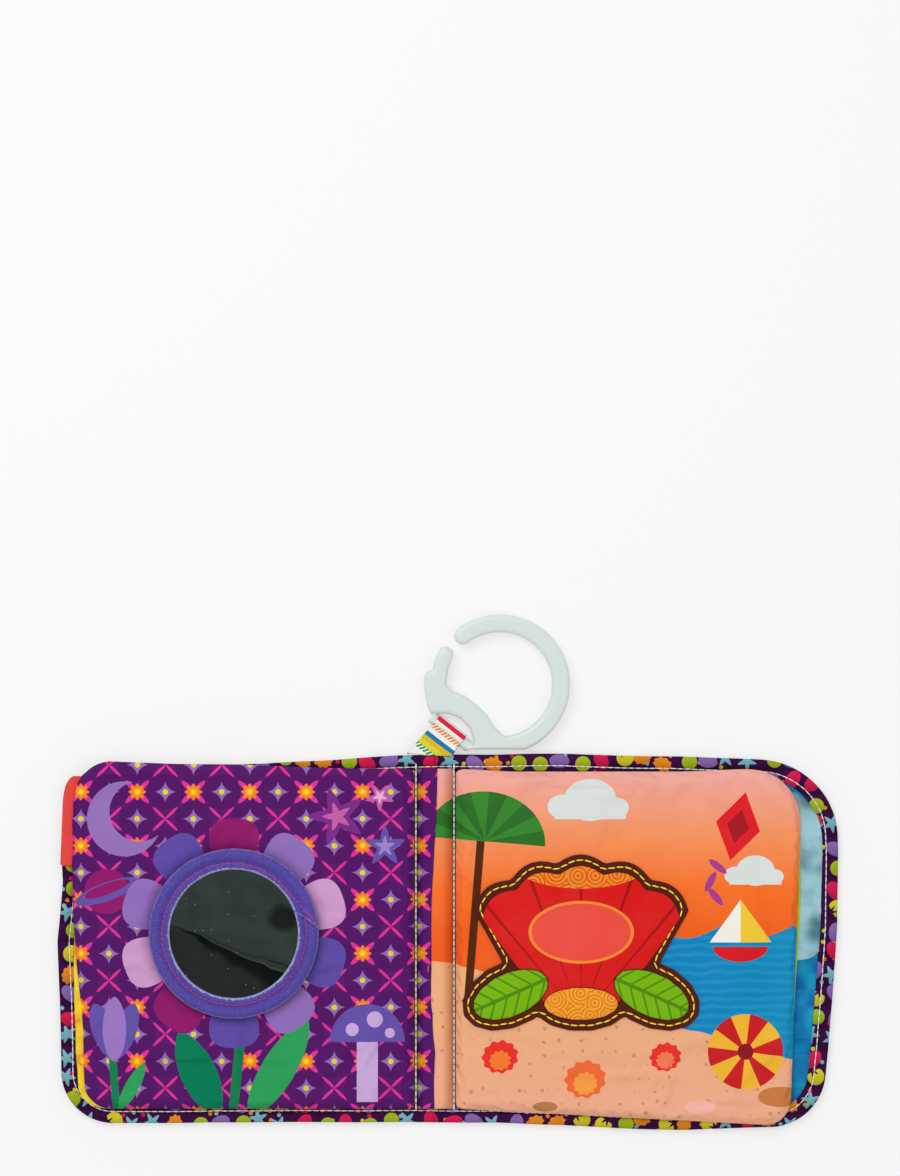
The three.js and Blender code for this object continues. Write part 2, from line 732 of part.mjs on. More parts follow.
const ribbonBand = new THREE.ExtrudeGeometry(ribbonShape, { depth: ribbonWidth, bevelEnabled: false })
  .translate(0, 0, -ribbonWidth / 2)
  .applyMatrix4(new THREE.Matrix4().makeBasis(
    ribbonAlong,
    new THREE.Vector3(0, 0, 1),
    ribbonAcross,
  ))
  .translate(barMiddle[0], barMiddle[1], 0);
addPiece("ribbon_loop", keepInside(
  ribbonBand,
  [-reach, coverHalfHeight + gap, -overrun],
  [reach, reach, overrun],
), 0xe8e2d0);
addPiece("ribbon_tail", block(
  [-spineHalf + gap, spineLayerEnd + gap, coverClothThickness],
  [spineHalf - gap, spineFill, tailTop],
), 0xe8e2d0);

export default group;
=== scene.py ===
import bpy
import bmesh
import math
import numpy as np
from mathutils import Matrix, Vector, geometry
from mathutils.bvhtree import BVHTree
from mathutils.noise import noise_vector


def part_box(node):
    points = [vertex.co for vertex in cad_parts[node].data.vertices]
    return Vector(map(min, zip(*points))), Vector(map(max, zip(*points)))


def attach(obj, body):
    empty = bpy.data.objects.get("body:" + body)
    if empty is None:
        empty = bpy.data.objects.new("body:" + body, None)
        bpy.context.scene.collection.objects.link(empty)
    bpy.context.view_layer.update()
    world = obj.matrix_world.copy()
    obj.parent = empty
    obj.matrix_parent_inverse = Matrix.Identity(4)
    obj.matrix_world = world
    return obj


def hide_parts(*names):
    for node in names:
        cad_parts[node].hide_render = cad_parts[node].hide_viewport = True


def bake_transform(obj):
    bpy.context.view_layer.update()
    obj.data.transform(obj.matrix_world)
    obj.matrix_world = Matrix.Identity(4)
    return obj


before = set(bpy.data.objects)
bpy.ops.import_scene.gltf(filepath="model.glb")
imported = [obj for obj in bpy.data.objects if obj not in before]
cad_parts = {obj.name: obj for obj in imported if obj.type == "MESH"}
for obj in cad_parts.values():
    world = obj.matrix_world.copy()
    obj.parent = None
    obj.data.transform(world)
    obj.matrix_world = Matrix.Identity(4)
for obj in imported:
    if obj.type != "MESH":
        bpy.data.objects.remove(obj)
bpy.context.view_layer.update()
mm = 0.001
scene = bpy.context.scene
print("frame loaded")

# Sizes shared by several pieces, in metres, read from the frame where it has them
coverLow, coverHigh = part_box("front_cover_print")
backLow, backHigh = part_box("back_cover_print")
leftLow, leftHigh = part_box("left_page_front_cloth")
rightLow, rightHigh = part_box("right_page_front_cloth")
seamLow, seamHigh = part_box("right_seam_thread")
ringLow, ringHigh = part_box("mirror_ring")
seamX = (seamLow.x + seamHigh.x) / 2
seamZ = seamLow.z
coverTop = coverHigh.z
pageBase = coverTop + 0.3 * mm
mirrorCentre = ((ringLow.x + ringHigh.x) / 2, (ringLow.y + ringHigh.y) / 2)


# Camera, floor and light
view = {
    "across": 0.360,
    "tall": 0.4704,
    "centre": (0.006, 0.1412),
    "distance": 2.0,
    "sensor": 36.0,
    "aimHeight": 0.004,
}
camera = bpy.data.objects.new("camera", bpy.data.cameras.new("camera"))
scene.collection.objects.link(camera)
camera.data.sensor_fit = "VERTICAL"
camera.data.sensor_height = view["sensor"]
camera.data.lens = view["sensor"] * view["distance"] / view["tall"]
camera.data.clip_end = 10
camera.location = (*view["centre"], view["distance"] + view["aimHeight"])
scene.camera = camera
scene.view_settings.view_transform = "Standard"


def add(tree, kind, inputs=None, **settings):
    node = tree.nodes.new(kind)
    for name, value in settings.items():
        setattr(node, name, value)
    for name, value in (inputs or {}).items():
        socket = node.inputs[name]
        if isinstance(value, bpy.types.NodeSocket):
            tree.links.new(value, socket)
        else:
            socket.default_value = value
    return node


def linear(hexText):
    channels = [int(hexText[i:i + 2], 16) / 255 for i in (0, 2, 4)]
    return (*[c / 12.92 if c <= 0.04045 else ((c + 0.055) / 1.055) ** 2.4 for c in channels], 1)


def newMaterial(name, bends=False):
    # cloth that bends across a joint keeps its pattern by reading its own places at rest
    material = bpy.data.materials.new(name)
    material.use_nodes = True
    tree = material.node_tree
    shader = tree.nodes["Principled BSDF"]
    if bends:
        where = add(tree, "ShaderNodeAttribute", attribute_name="atRest").outputs["Vector"]
    else:
        where = add(tree, "ShaderNodeTexCoord").outputs["Object"]
    place = add(tree, "ShaderNodeVectorMath", {0: where, "Scale": 1 / mm}, operation="SCALE").outputs[0]
    return material, tree, shader, place


# Motif helpers: each shape is tested in its own unit space, so size and turn come from one Mapping node
def local(tree, place, centre, size, turn=0.0):
    inputs = {"Vector": place, "Location": (*centre, 0), "Rotation": (0, 0, turn), "Scale": (*size, 1)}
    mapped = add(tree, "ShaderNodeMapping", inputs, vector_type="TEXTURE").outputs[0]
    return add(tree, "ShaderNodeVectorMath", {0: mapped, 1: (1, 1, 0)}, operation="MULTIPLY").outputs[0]


def disc(tree, unit):
    length = add(tree, "ShaderNodeVectorMath", {0: unit}, operation="LENGTH").outputs["Value"]
    return add(tree, "ShaderNodeMath", {0: length, 1: 1.0}, operation="LESS_THAN").outputs[0]


def lens(tree, unit, fat=0.6):
    # two discs that meet in points at the ends of the unit Y axis
    shift = (1 - fat * fat) / (2 * fat)
    folded = add(tree, "ShaderNodeVectorMath", {0: unit}, operation="ABSOLUTE").outputs[0]
    moved = add(tree, "ShaderNodeVectorMath", {0: folded, 1: (shift, 0, 0)}).outputs[0]
    length = add(tree, "ShaderNodeVectorMath", {0: moved}, operation="LENGTH").outputs["Value"]
    return add(tree, "ShaderNodeMath", {0: length, 1: shift + fat}, operation="LESS_THAN").outputs[0]


def bar(tree, unit):
    folded = add(tree, "ShaderNodeVectorMath", {0: unit}, operation="ABSOLUTE").outputs[0]
    parts = add(tree, "ShaderNodeSeparateXYZ", {0: folded}).outputs
    widest = add(tree, "ShaderNodeMath", {0: parts[0], 1: parts[1]}, operation="MAXIMUM").outputs[0]
    return add(tree, "ShaderNodeMath", {0: widest, 1: 1.0}, operation="LESS_THAN").outputs[0]


def rosette(tree, unit, petals, depth):
    parts = add(tree, "ShaderNodeSeparateXYZ", {0: unit}).outputs
    angle = add(tree, "ShaderNodeMath", {0: parts[1], 1: parts[0]}, operation="ARCTAN2").outputs[0]
    turned = add(tree, "ShaderNodeMath", {0: angle, 1: float(petals)}, operation="MULTIPLY").outputs[0]
    wave = add(tree, "ShaderNodeMath", {0: turned}, operation="COSINE").outputs[0]
    rim = add(tree, "ShaderNodeMath", {0: wave, 1: depth, 2: 1 - depth}, operation="MULTIPLY_ADD").outputs[0]
    length = add(tree, "ShaderNodeVectorMath", {0: unit}, operation="LENGTH").outputs["Value"]
    return add(tree, "ShaderNodeMath", {0: length, 1: rim}, operation="LESS_THAN").outputs[0]


def pointedStar(tree, unit, points, depth):
    parts = add(tree, "ShaderNodeSeparateXYZ", {0: unit}).outputs
    angle = add(tree, "ShaderNodeMath", {0: parts[0], 1: parts[1]}, operation="ARCTAN2").outputs[0]
    turned = add(tree, "ShaderNodeMath", {0: angle, 1: points / 2}, operation="MULTIPLY").outputs[0]
    wave = add(tree, "ShaderNodeMath", {0: turned}, operation="SINE").outputs[0]
    folded = add(tree, "ShaderNodeMath", {0: wave}, operation="ABSOLUTE").outputs[0]
    rim = add(tree, "ShaderNodeMath", {0: folded, 1: -depth, 2: 1.0}, operation="MULTIPLY_ADD").outputs[0]
    length = add(tree, "ShaderNodeVectorMath", {0: unit}, operation="LENGTH").outputs["Value"]
    return add(tree, "ShaderNodeMath", {0: length, 1: rim}, operation="LESS_THAN").outputs[0]


def paint(tree, under, mask, over):
    over = linear(over) if isinstance(over, str) else over
    under = linear(under) if isinstance(under, str) else under
    inputs = {"Factor": mask, "A": under, "B": over}
    node = add(tree, "ShaderNodeMix", data_type="RGBA")
    for name, value in inputs.items():
        sockets = [s for s in node.inputs if s.name == name and (s.type == "RGBA" or name == "Factor")]
        if isinstance(value, bpy.types.NodeSocket):
            tree.links.new(value, sockets[0])
        else:
            sockets[0].default_value = value
    return [s for s in node.outputs if s.type == "RGBA"][0]


def wovenFinish(tree, shader, place, thread=0.45, weave=0.05, ripple=0.25, rippleSize=18.0):
    # plain weave: two sets of threads, drawn coarse enough to show, over the soft ripples of the cloth
    heights = []
    for direction in ("X", "Y"):
        wave = add(tree, "ShaderNodeTexWave", {"Vector": place, "Scale": 0.314 / thread}, bands_direction=direction)
        heights.append(wave.outputs["Fac"])
    threads = add(tree, "ShaderNodeMath", {0: heights[0], 1: heights[1]}, operation="MULTIPLY").outputs[0]
    soft = add(tree, "ShaderNodeTexNoise", {"Vector": place, "Scale": 1 / rippleSize, "Detail": 3.0}).outputs["Fac"]
    fine = add(tree, "ShaderNodeBump", {"Height": threads, "Distance": weave * mm, "Strength": 0.5}).outputs[0]
    both = add(tree, "ShaderNodeBump", {"Height": soft, "Distance": ripple * mm, "Strength": 0.6, "Normal": fine})
    tree.links.new(both.outputs[0], shader.inputs["Normal"])


def seenAsWhite(tree):
    # 1 for what the camera, a reflection or clear plastic shows of the backdrop, 0 for the light it gives
    ray = add(tree, "ShaderNodeLightPath").outputs
    either = add(tree, "ShaderNodeMath", {0: ray["Is Camera Ray"], 1: ray["Is Glossy Ray"]}, operation="MAXIMUM")
    return add(tree, "ShaderNodeMath", {0: either.outputs[0], 1: ray["Is Transmission Ray"]}, operation="MAXIMUM").outputs[0]


def stage():
    bpy.ops.mesh.primitive_plane_add(size=6)
    floor = bpy.context.object
    floor.name = "studio_floor"
    material, tree, shader, place = newMaterial("mattePaperSweep")
    shader.inputs["Base Color"].default_value = linear("F4F4F4")
    shader.inputs["Roughness"].default_value = 0.9
    white = add(tree, "ShaderNodeEmission", {"Color": (1, 1, 1, 1), "Strength": 1.0}).outputs[0]
    bright = add(tree, "ShaderNodeMath", {0: seenAsWhite(tree), 1: 0.55}, operation="MULTIPLY").outputs[0]
    mixed = add(tree, "ShaderNodeMixShader", {0: bright, 1: shader.outputs[0], 2: white}).outputs[0]
    tree.links.new(mixed, tree.nodes["Material Output"].inputs["Surface"])
    floor.data.materials.append(material)
    world = bpy.data.worlds.new("studio")
    scene.world = world
    world.use_nodes = True
    sky = world.node_tree
    sky.nodes["Background"].inputs["Color"].default_value = (1, 1, 1, 1)
    strength = add(sky, "ShaderNodeMath", {0: seenAsWhite(sky), 1: 0.38, 2: 0.62}, operation="MULTIPLY_ADD").outputs[0]
    sky.links.new(strength, sky.nodes["Background"].inputs["Strength"])
    lamps = {
        "key_softbox": ((-0.5, 0.7, 1.1), 0.7, 6.5),
        "fill_softbox": ((0.8, -0.3, 1.2), 0.9, 2.5),
    }
    for name, (spot, size, power) in lamps.items():
        data = bpy.data.lights.new(name, "AREA")
        data.size = size
        data.energy = power
        lamp = bpy.data.objects.new(name, data)
        lamp.location = spot
        lamp.rotation_euler = (-Vector(spot)).to_track_quat("-Z", "Y").to_euler()
        scene.collection.objects.link(lamp)


stage()
print("camera and stage ready")


# Outlines: corners go counter-clockwise, each with x, y and a radius; an inset moves every edge inwards
def roundedOutline(corners, inset=0.0, arcSteps=10, sideSteps=40):
    count = len(corners)
    edges = []
    for i, corner in enumerate(corners):
        following = corners[(i + 1) % count]
        run = np.array([following[0] - corner[0], following[1] - corner[1]], float)
        run /= np.linalg.norm(run)
        normal = np.array([-run[1], run[0]])
        edges.append((np.array(corner[:2], float) + normal * inset, run))
    arcs = []
    for i, corner in enumerate(corners):
        (startA, runA), (startB, runB) = edges[i - 1], edges[i]
        cross = runA[0] * runB[1] - runA[1] * runB[0]
        span = startB - startA
        tip = startA + runA * (span[0] * runB[1] - span[1] * runB[0]) / cross
        turn = math.atan2(cross, float(runA @ runB))
        radius = max(corner[2] - inset, 0.2 * mm)
        begin = tip - runA * radius * math.tan(turn / 2)
        centre = begin + np.array([-runA[1], runA[0]]) * radius
        arm = begin - centre
        arc = []
        for step in range(arcSteps + 1):
            a = turn * step / arcSteps
            arc.append(centre + np.array([
                arm[0] * math.cos(a) - arm[1] * math.sin(a),
                arm[0] * math.sin(a) + arm[1] * math.cos(a),
            ]))
        arcs.append(arc)
    points = []
    for i, arc in enumerate(arcs):
        following = arcs[(i + 1) % count][0]
        points.extend(arc)
        for step in range(1, sideSteps):
            points.append(arc[-1] + (following - arc[-1]) * step / sideSteps)
    return np.array(points)


def edgeDistance(corners, xy):
    # distance inwards from a rounded outline, worked out from its edges and corner circles
    count = len(corners)
    distances = []
    for i, corner in enumerate(corners):
        following = corners[(i + 1) % count]
        run = np.array([following[0] - corner[0], following[1] - corner[1]], float)
        run /= np.linalg.norm(run)
        normal = np.array([-run[1], run[0]])
        distances.append((xy - np.array(corner[:2])) @ normal)
    distances = np.array(distances)
    nearest = distances.min(axis=0)
    for i, corner in enumerate(corners):
        a, b, radius = distances[i - 1], distances[i], corner[2]
        inCorner = (a < radius) & (b < radius)
        round_ = radius - np.hypot(radius - a, radius - b)
        nearest = np.where(inCorner, round_, nearest)
    return nearest


def meshObject(name, vertices, faces, smooth=True):
    mesh = bpy.data.meshes.new(name)
    mesh.from_pydata([tuple(v) for v in vertices], [], [tuple(f) for f in faces])
    mesh.validate()
    mesh.update()
    piece = bpy.data.objects.new(name, mesh)
    scene.collection.objects.link(piece)
    if smooth:
        mesh.shade_smooth()
    return piece


def outwards(piece):
    work = bmesh.new()
    work.from_mesh(piece.data)
    bmesh.ops.remove_doubles(work, verts=work.verts, dist=0.002 * mm)
    bmesh.ops.recalc_face_normals(work, faces=work.faces)
    work.to_mesh(piece.data)
    work.free()


def applied(piece):
    graph = bpy.context.evaluated_depsgraph_get()
    graph.update()
    mesh = bpy.data.meshes.new_from_object(piece.evaluated_get(graph), depsgraph=graph)
    piece.modifiers.clear()
    piece.data = mesh
    return piece


def smoothNoise(xy, size, seed):
    # gentle, repeatable unevenness between -1 and 1
    values = [noise_vector((x / size, y / size, seed))[0] for x, y in xy]
    return np.array(values)


# Cover cloth: one printed cloth, folded over to the inside as the binding, from the middle of the spine outwards
coverLook = {
    "bindingWidth": 8.0 * mm,
    "stitchInset": 4.8 * mm,
    "topRadius": 30 * mm,
    "bottomRadius": 21 * mm,
    "lean": 7.6 * mm,
    "grooveDepth": 0.7 * mm,
    "rollHeight": 0.35 * mm,
    "thickness": 0.6 * mm,
    "wander": 0.4 * mm,
    "layerInset": 0.8 * mm,
    # how far the sewn edge stands out from the plain outline, in mm, at places along each side in mm
    "topEdge": [(-151, -5.5), (-112, -5.2), (-92, -4.6), (-70, -3.4), (-54, -2.2), (-38, -1.2), (-14, 0.3),
                (54, 1.2), (98, 0.2), (122, -1.6), (136, -3.0), (164, -4.6)],
    "bottomEdge": [(-151, -0.2), (-110, -0.1), (-94, -1.0), (-22, -1.5), (26, -1.0), (50, 0), (74, 1.6), (98, 3.0),
                   (114, 2.4), (138, 1.6), (164, 0.8)],
    "leftEdge": [(-74, -2.5), (-54, -2), (-24, -1.2), (0, 0), (24, -2.2), (36, -1.6), (60, -3.2), (74, -3.5)],
    "rightEdge": [(-74, -0.6), (-42, 1.2), (-24, 1.8), (6, 2.2), (36, 1.4), (60, -0.3), (74, -1.4)],
}
frontCorners = [
    (coverLow.x, coverLow.y, coverLook["bottomRadius"]),
    (30 * mm, coverLow.y, 2 * mm),
    (30 * mm, coverHigh.y, 2 * mm),
    (coverLow.x, coverHigh.y, coverLook["bottomRadius"]),
]
backCorners = [
    (-30 * mm, coverLow.y, 2 * mm),
    (backHigh.x - coverLook["lean"], coverLow.y - 0.3 * mm, coverLook["bottomRadius"]),
    (backHigh.x, coverHigh.y, coverLook["topRadius"]),
    (-30 * mm, coverHigh.y, 2 * mm),
]


def openEdge(corners, inset, side, steps=260):
    # the three bound sides only, from the seam round the outer side and back, evenly spaced
    points = roundedOutline(corners, inset, 16, 60)
    keep = points[:, 0] * side >= 0
    order = np.arange(len(points))
    start = next(i for i in order if keep[i] and not keep[i - 1])
    run = [points[(start + i) % len(points)] for i in range(int(keep.sum()))]
    before, after = points[start - 1], points[(start + len(run)) % len(points)]
    run.insert(0, before + (run[0] - before) * (0 - before[0]) / (run[0][0] - before[0]))
    run.append(after + (run[-1] - after) * (0 - after[0]) / (run[-1][0] - after[0]))
    run = np.array(run)
    lengths = np.concatenate([[0], np.cumsum(np.linalg.norm(np.diff(run, axis=0), axis=1))])
    share = np.linspace(0, lengths[-1], steps)
    return np.stack([np.interp(share, lengths, run[:, 0]), np.interp(share, lengths, run[:, 1])], axis=1)


def edgeShift(ring, outward):
    x, y = ring[:, 0] / mm, ring[:, 1] / mm
    sides = {
        name: np.interp(at, *zip(*coverLook[name]))
        for name, at in (("topEdge", x), ("bottomEdge", x), ("leftEdge", y), ("rightEdge", y))
    }
    across = np.where(outward[:, 0] > 0, sides["rightEdge"], sides["leftEdge"]) * outward[:, 0] ** 2
    upright = np.where(outward[:, 1] > 0, sides["topEdge"], sides["bottomEdge"]) * outward[:, 1] ** 2
    return (across + upright) * mm


def coverEdge(corners, side, seed):
    # the outer edge, the way out from it, and how far the sewn cloth stands from it
    ring = openEdge(corners, 0, side)
    outward = ring - openEdge(corners, 1 * mm, side)
    outward /= np.maximum(np.linalg.norm(outward, axis=1, keepdims=True), 1e-9)
    sway = smoothNoise(ring, 26 * mm, seed) * coverLook["wander"]
    sway *= np.clip(np.abs(ring[:, 0]) / (20 * mm), 0, 1)
    return outward * (sway + edgeShift(ring, outward))[:, None]


def coverProfile():
    look = coverLook
    top, t, b, s = coverTop, look["thickness"], look["bindingWidth"], look["stitchInset"]
    mid = top / 2
    points = []
    for step in range(13):  # rounded outer edge, from underneath to the top
        angle = -math.pi / 2 + math.pi * step / 12
        points.append((1.5 * mm - 1.5 * mm * math.cos(angle), mid + mid * math.sin(angle)))
    for inset, drop in (
        (2.2, -0.12), (3.2, -0.08), (3.9, 0.1), (4.4, 0.42), (4.8, 0.6), (5.2, 0.42), (5.7, 0.12), (6.4, 0.05),
        (7.0, 0.2), (7.1, 0.45),
    ):
        points.append((inset * mm, top - drop * mm))
    points.append((7.1 * mm, top - t))
    points.append((5.8 * mm, top - t - 0.25 * mm))
    points.append((1.6 * mm, top - t - 0.1 * mm))
    points.append((1.0 * mm, mid))
    points.append((1.4 * mm, t))
    return points


def makeCoverCloth(name, corners, side, seed):
    profile = coverProfile()
    rings = [openEdge(corners, inset, side) for inset, height in profile]
    count = len(rings[0])
    shift = coverEdge(corners, side, seed)
    vertices, faces = [], []
    for (inset, height), ring in zip(profile, rings):
        moved = ring + shift
        lift = smoothNoise(ring, 14 * mm, seed + 5) * 0.12 * mm * (height > coverTop * 0.7)
        for point, up in zip(moved, lift):
            vertices.append((point[0], point[1], height + up))
    total = len(profile)
    for r in range(total - 1):
        for i in range(count - 1):
            faces.append((r * count + i, r * count + i + 1, (r + 1) * count + i + 1, (r + 1) * count + i))
    # flat underside and inner floor of the print cloth, filled between the two long edges
    def fill(ringIndex, height, flip):
        base = len(vertices)
        edge = np.array([vertices[ringIndex * count + i][:2] for i in range(count)])
        half = count // 2
        rows = 24
        for r in range(rows + 1):
            for i in range(half):
                a, b = edge[i], edge[count - 1 - i]
                point = a + (b - a) * r / rows
                vertices.append((point[0], point[1], height))
        for r in range(rows):
            for i in range(half - 1):
                quad = (base + r * half + i, base + r * half + i + 1,
                        base + (r + 1) * half + i + 1, base + (r + 1) * half + i)
                faces.append(quad[::-1] if flip else quad)
    fill(0, 0.0, False)
    fill(total - 1, coverLook["thickness"], True)
    piece = meshObject(name, vertices, faces)
    closeEnds(piece)
    outwards(piece)
    atRest = piece.data.attributes.new("atRest", "FLOAT_VECTOR", "POINT")
    atRest.data.foreach_set("vector", [c for v in piece.data.vertices for c in v.co])
    return piece


def closeEnds(piece):
    # the cut end at the middle of the spine
    work = bmesh.new()
    work.from_mesh(piece.data)
    bmesh.ops.remove_doubles(work, verts=work.verts, dist=0.002 * mm)
    made = bmesh.ops.holes_fill(work, edges=[e for e in work.edges if e.is_boundary], sides=0)
    bmesh.ops.triangulate(work, faces=made["faces"])
    work.to_mesh(piece.data)
    work.free()


# Flat cloth shapes: an outline taken from a CAD node, filled with even triangles
def topOutline(nodeName):
    work = bmesh.new()
    work.from_mesh(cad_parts[nodeName].data)
    bmesh.ops.remove_doubles(work, verts=work.verts, dist=0.005 * mm)
    work.normal_update()
    top = max(v.co.z for v in work.verts)
    chosen = {f for f in work.faces if f.normal.z > 0.9 and f.calc_center_median().z > top - 0.3 * mm}
    following = {}
    for face in chosen:
        for loop in face.loops:
            if not any(f in chosen for f in loop.edge.link_faces if f is not face):
                following[loop.vert.index] = loop.link_loop_next.vert.index
    places = {v.index: (v.co.x, v.co.y) for v in work.verts}
    loops = []
    while following:
        start = next(iter(following))
        run, at = [], start
        while at in following:
            run.append(places[at])
            at = following.pop(at)
        loops.append(run)
    work.free()
    return np.array(max(loops, key=lambda run: np.ptp([p[0] for p in run]) * np.ptp([p[1] for p in run])))


def evenly(loop, spacing):
    closed = np.vstack([loop, loop[:1]])
    lengths = np.concatenate([[0], np.cumsum(np.linalg.norm(np.diff(closed, axis=0), axis=1))])
    count = max(int(round(lengths[-1] / spacing)), 8)
    share = np.arange(count) * lengths[-1] / count
    return np.stack([np.interp(share, lengths, closed[:, 0]), np.interp(share, lengths, closed[:, 1])], axis=1)


def moveOut(loop, distance):
    run = np.roll(loop, -1, axis=0) - np.roll(loop, 1, axis=0)
    run /= np.maximum(np.linalg.norm(run, axis=1, keepdims=True), 1e-12)
    return loop + np.stack([run[:, 1], -run[:, 0]], axis=1) * np.reshape(distance, (-1, 1))


def insideDistance(points, loop):
    # distance to the outline, positive inside
    best = np.full(len(points), 1e9)
    crossings = np.zeros(len(points), int)
    for a, b in zip(loop, np.roll(loop, -1, axis=0)):
        run = b - a
        size = max(float(run @ run), 1e-18)
        share = np.clip(((points - a) @ run) / size, 0, 1)
        best = np.minimum(best, np.linalg.norm(points - a - share[:, None] * run, axis=1))
        if a[1] != b[1]:
            straddles = (a[1] > points[:, 1]) != (b[1] > points[:, 1])
            at = a[0] + (points[:, 1] - a[1]) * run[0] / run[1]
            crossings += straddles & (points[:, 0] < at)
    return np.where(crossings % 2 == 1, best, -best)


def filled(loop, spacing, insets):
    rings = [evenly(loop, spacing)]
    for inset in insets:
        rings.append(moveOut(rings[0], -inset))
    low, high = loop.min(axis=0), loop.max(axis=0)
    rows = np.arange(low[1], high[1], spacing * 0.87)
    grid = [(x + (i % 2) * spacing / 2, y) for i, y in enumerate(rows) for x in np.arange(low[0], high[0], spacing)]
    grid = np.array(grid)
    grid += np.stack([smoothNoise(grid, spacing, 3.1), smoothNoise(grid, spacing, 7.7)], axis=1) * spacing * 0.2
    clear = (insets[-1] if insets else 0) + spacing * 0.6
    grid = grid[insideDistance(grid, rings[0]) > clear]
    points = np.vstack([*rings, grid])
    verts, _, faces, *_ = geometry.delaunay_2d_cdt(
        [Vector(p) for p in points], [], [list(range(len(rings[0])))], 1, 1e-7)
    return np.array([tuple(v) for v in verts]), [tuple(f) for f in faces]


def shell(name, xy, faces, topZ, bottomZ):
    # two copies of the same net, joined round the edge
    count = len(xy)
    vertices = [(x, y, z) for (x, y), z in zip(xy, topZ)] + [(x, y, z) for (x, y), z in zip(xy, bottomZ)]
    upper = []
    for a, b, c in faces:
        cross = (xy[b][0] - xy[a][0]) * (xy[c][1] - xy[a][1]) - (xy[b][1] - xy[a][1]) * (xy[c][0] - xy[a][0])
        upper.append((a, b, c) if cross > 0 else (a, c, b))
    edges = {}
    for face in upper:
        for i in range(3):
            edges[(face[i], face[(i + 1) % 3])] = True
    border = [(a, b) for a, b in edges if (b, a) not in edges]
    quads = [(b, a, a + count, b + count) for a, b in border]
    lower = [(a + count, c + count, b + count) for a, b, c in upper]
    return meshObject(name, vertices, upper + lower + quads)


def laidCloth(name, loop, support, thickness, spacing=2.5 * mm, crown=0.0, ripple=0.0, rippleSize=16 * mm, seed=1.0):
    rounding = [thickness * share for share in (0.15, 0.45, 1.0)]
    xy, faces = filled(loop, spacing, rounding)
    inwards = np.clip(insideDistance(xy, evenly(loop, spacing)), 0, None)
    edge = np.sqrt(np.clip(1 - (1 - np.clip(inwards / thickness, 0, 1)) ** 2, 0, 1))
    base = support(xy)
    puff = crown * (1 - np.exp(-inwards / (2.2 * mm)))
    unevenness = smoothNoise(xy, rippleSize, seed) * ripple * np.clip(inwards / (3 * mm), 0, 1)
    top = base + thickness * (0.35 + 0.65 * edge) + puff + unevenness
    return shell(name, xy, faces, top, base + np.minimum(unevenness, 0))


def level(height):
    return lambda xy: np.full(len(xy), height)


def ready(piece, body, material, nodes=(), across=None):
    # an across value leaves the piece unattached to its body, with its transform baked into its mesh; the two places
    # along X are not used
    piece.data.materials.clear()
    piece.data.materials.append(material)
    if across:
        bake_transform(piece)
    else:
        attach(piece, body)
    if nodes:
        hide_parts(*nodes)
    return piece


def height(nodeName, share=1.0):
    low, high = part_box(nodeName)
    return low.z + (high.z - low.z) * share


def fittedLoop(nodeName, inset=0.0, most=0.0):
    # a CAD outline drawn in, or let out by up to most, with the sewn edge of the cover
    loop = evenly(topOutline(nodeName), 2.5 * mm)
    outward = (moveOut(loop, 1 * mm) - loop) / mm
    outward[:, 0] *= np.abs(loop[:, 0]) > 60 * mm
    shift = np.minimum(edgeShift(loop, outward), most) - inset
    return loop + outward * shift[:, None]


# Covers: printed cloth, lining inside it, and the soft panel sewn inside the back cover
def makeCovers():
    frontCloth = makeCoverCloth("front_cover_cloth", frontCorners, -1, 2.0)
    ready(frontCloth, "front_cover", finishes["cover"], ("front_cover_print", "spine_print"), (-4 * mm, -12 * mm))
    backCloth = makeCoverCloth("back_cover_cloth", backCorners, 1, 6.0)
    ready(backCloth, "back_cover", finishes["cover"], ("back_cover_print",), (4 * mm, 12 * mm))
    layers = {
        "batting": ("wadding", "batting", 6 * mm),
        "crinkle_film": ("crackle_sheet", "crinkleFilm", 6 * mm),
        "lining": ("lining_cloth", None, 4 * mm),
    }
    for side in ("front", "back"):
        body = f"{side}_cover"
        for layer, (word, look, spacing) in layers.items():
            node = f"{body}_{layer}"
            low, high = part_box(node)
            look = look or ("sunnyLining" if side == "front" else "blueLining")
            piece = laidCloth(
                f"{body}_{word}", fittedLoop(node, coverLook["layerInset"]), level(low.z + 0.02 * mm),
                high.z - low.z - 0.1 * mm, spacing=spacing, ripple=0.1 * mm if layer == "lining" else 0, seed=8.0)
            ready(piece, body, finishes[look], (node,))
    spineLow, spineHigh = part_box("spine_lining")
    spineLining = laidCloth(
        "spine_lining_cloth", fittedLoop("spine_lining", coverLook["layerInset"]), level(spineLow.z), spineHigh.z - spineLow.z,
        spacing=3 * mm)
    ready(spineLining, "spine", finishes["blueLining"], ("spine_lining",))
    low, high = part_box("fleece_piece")
    fleece = laidCloth(
        "fleece_panel", fittedLoop("fleece_piece", most=3.2 * mm), level(low.z), high.z - low.z,
        spacing=2.5 * mm, crown=0.35 * mm, ripple=0.6 * mm, rippleSize=13 * mm, seed=4.0)
    ready(fleece, "back_cover", finishes["fleece"], ("fleece_piece",))


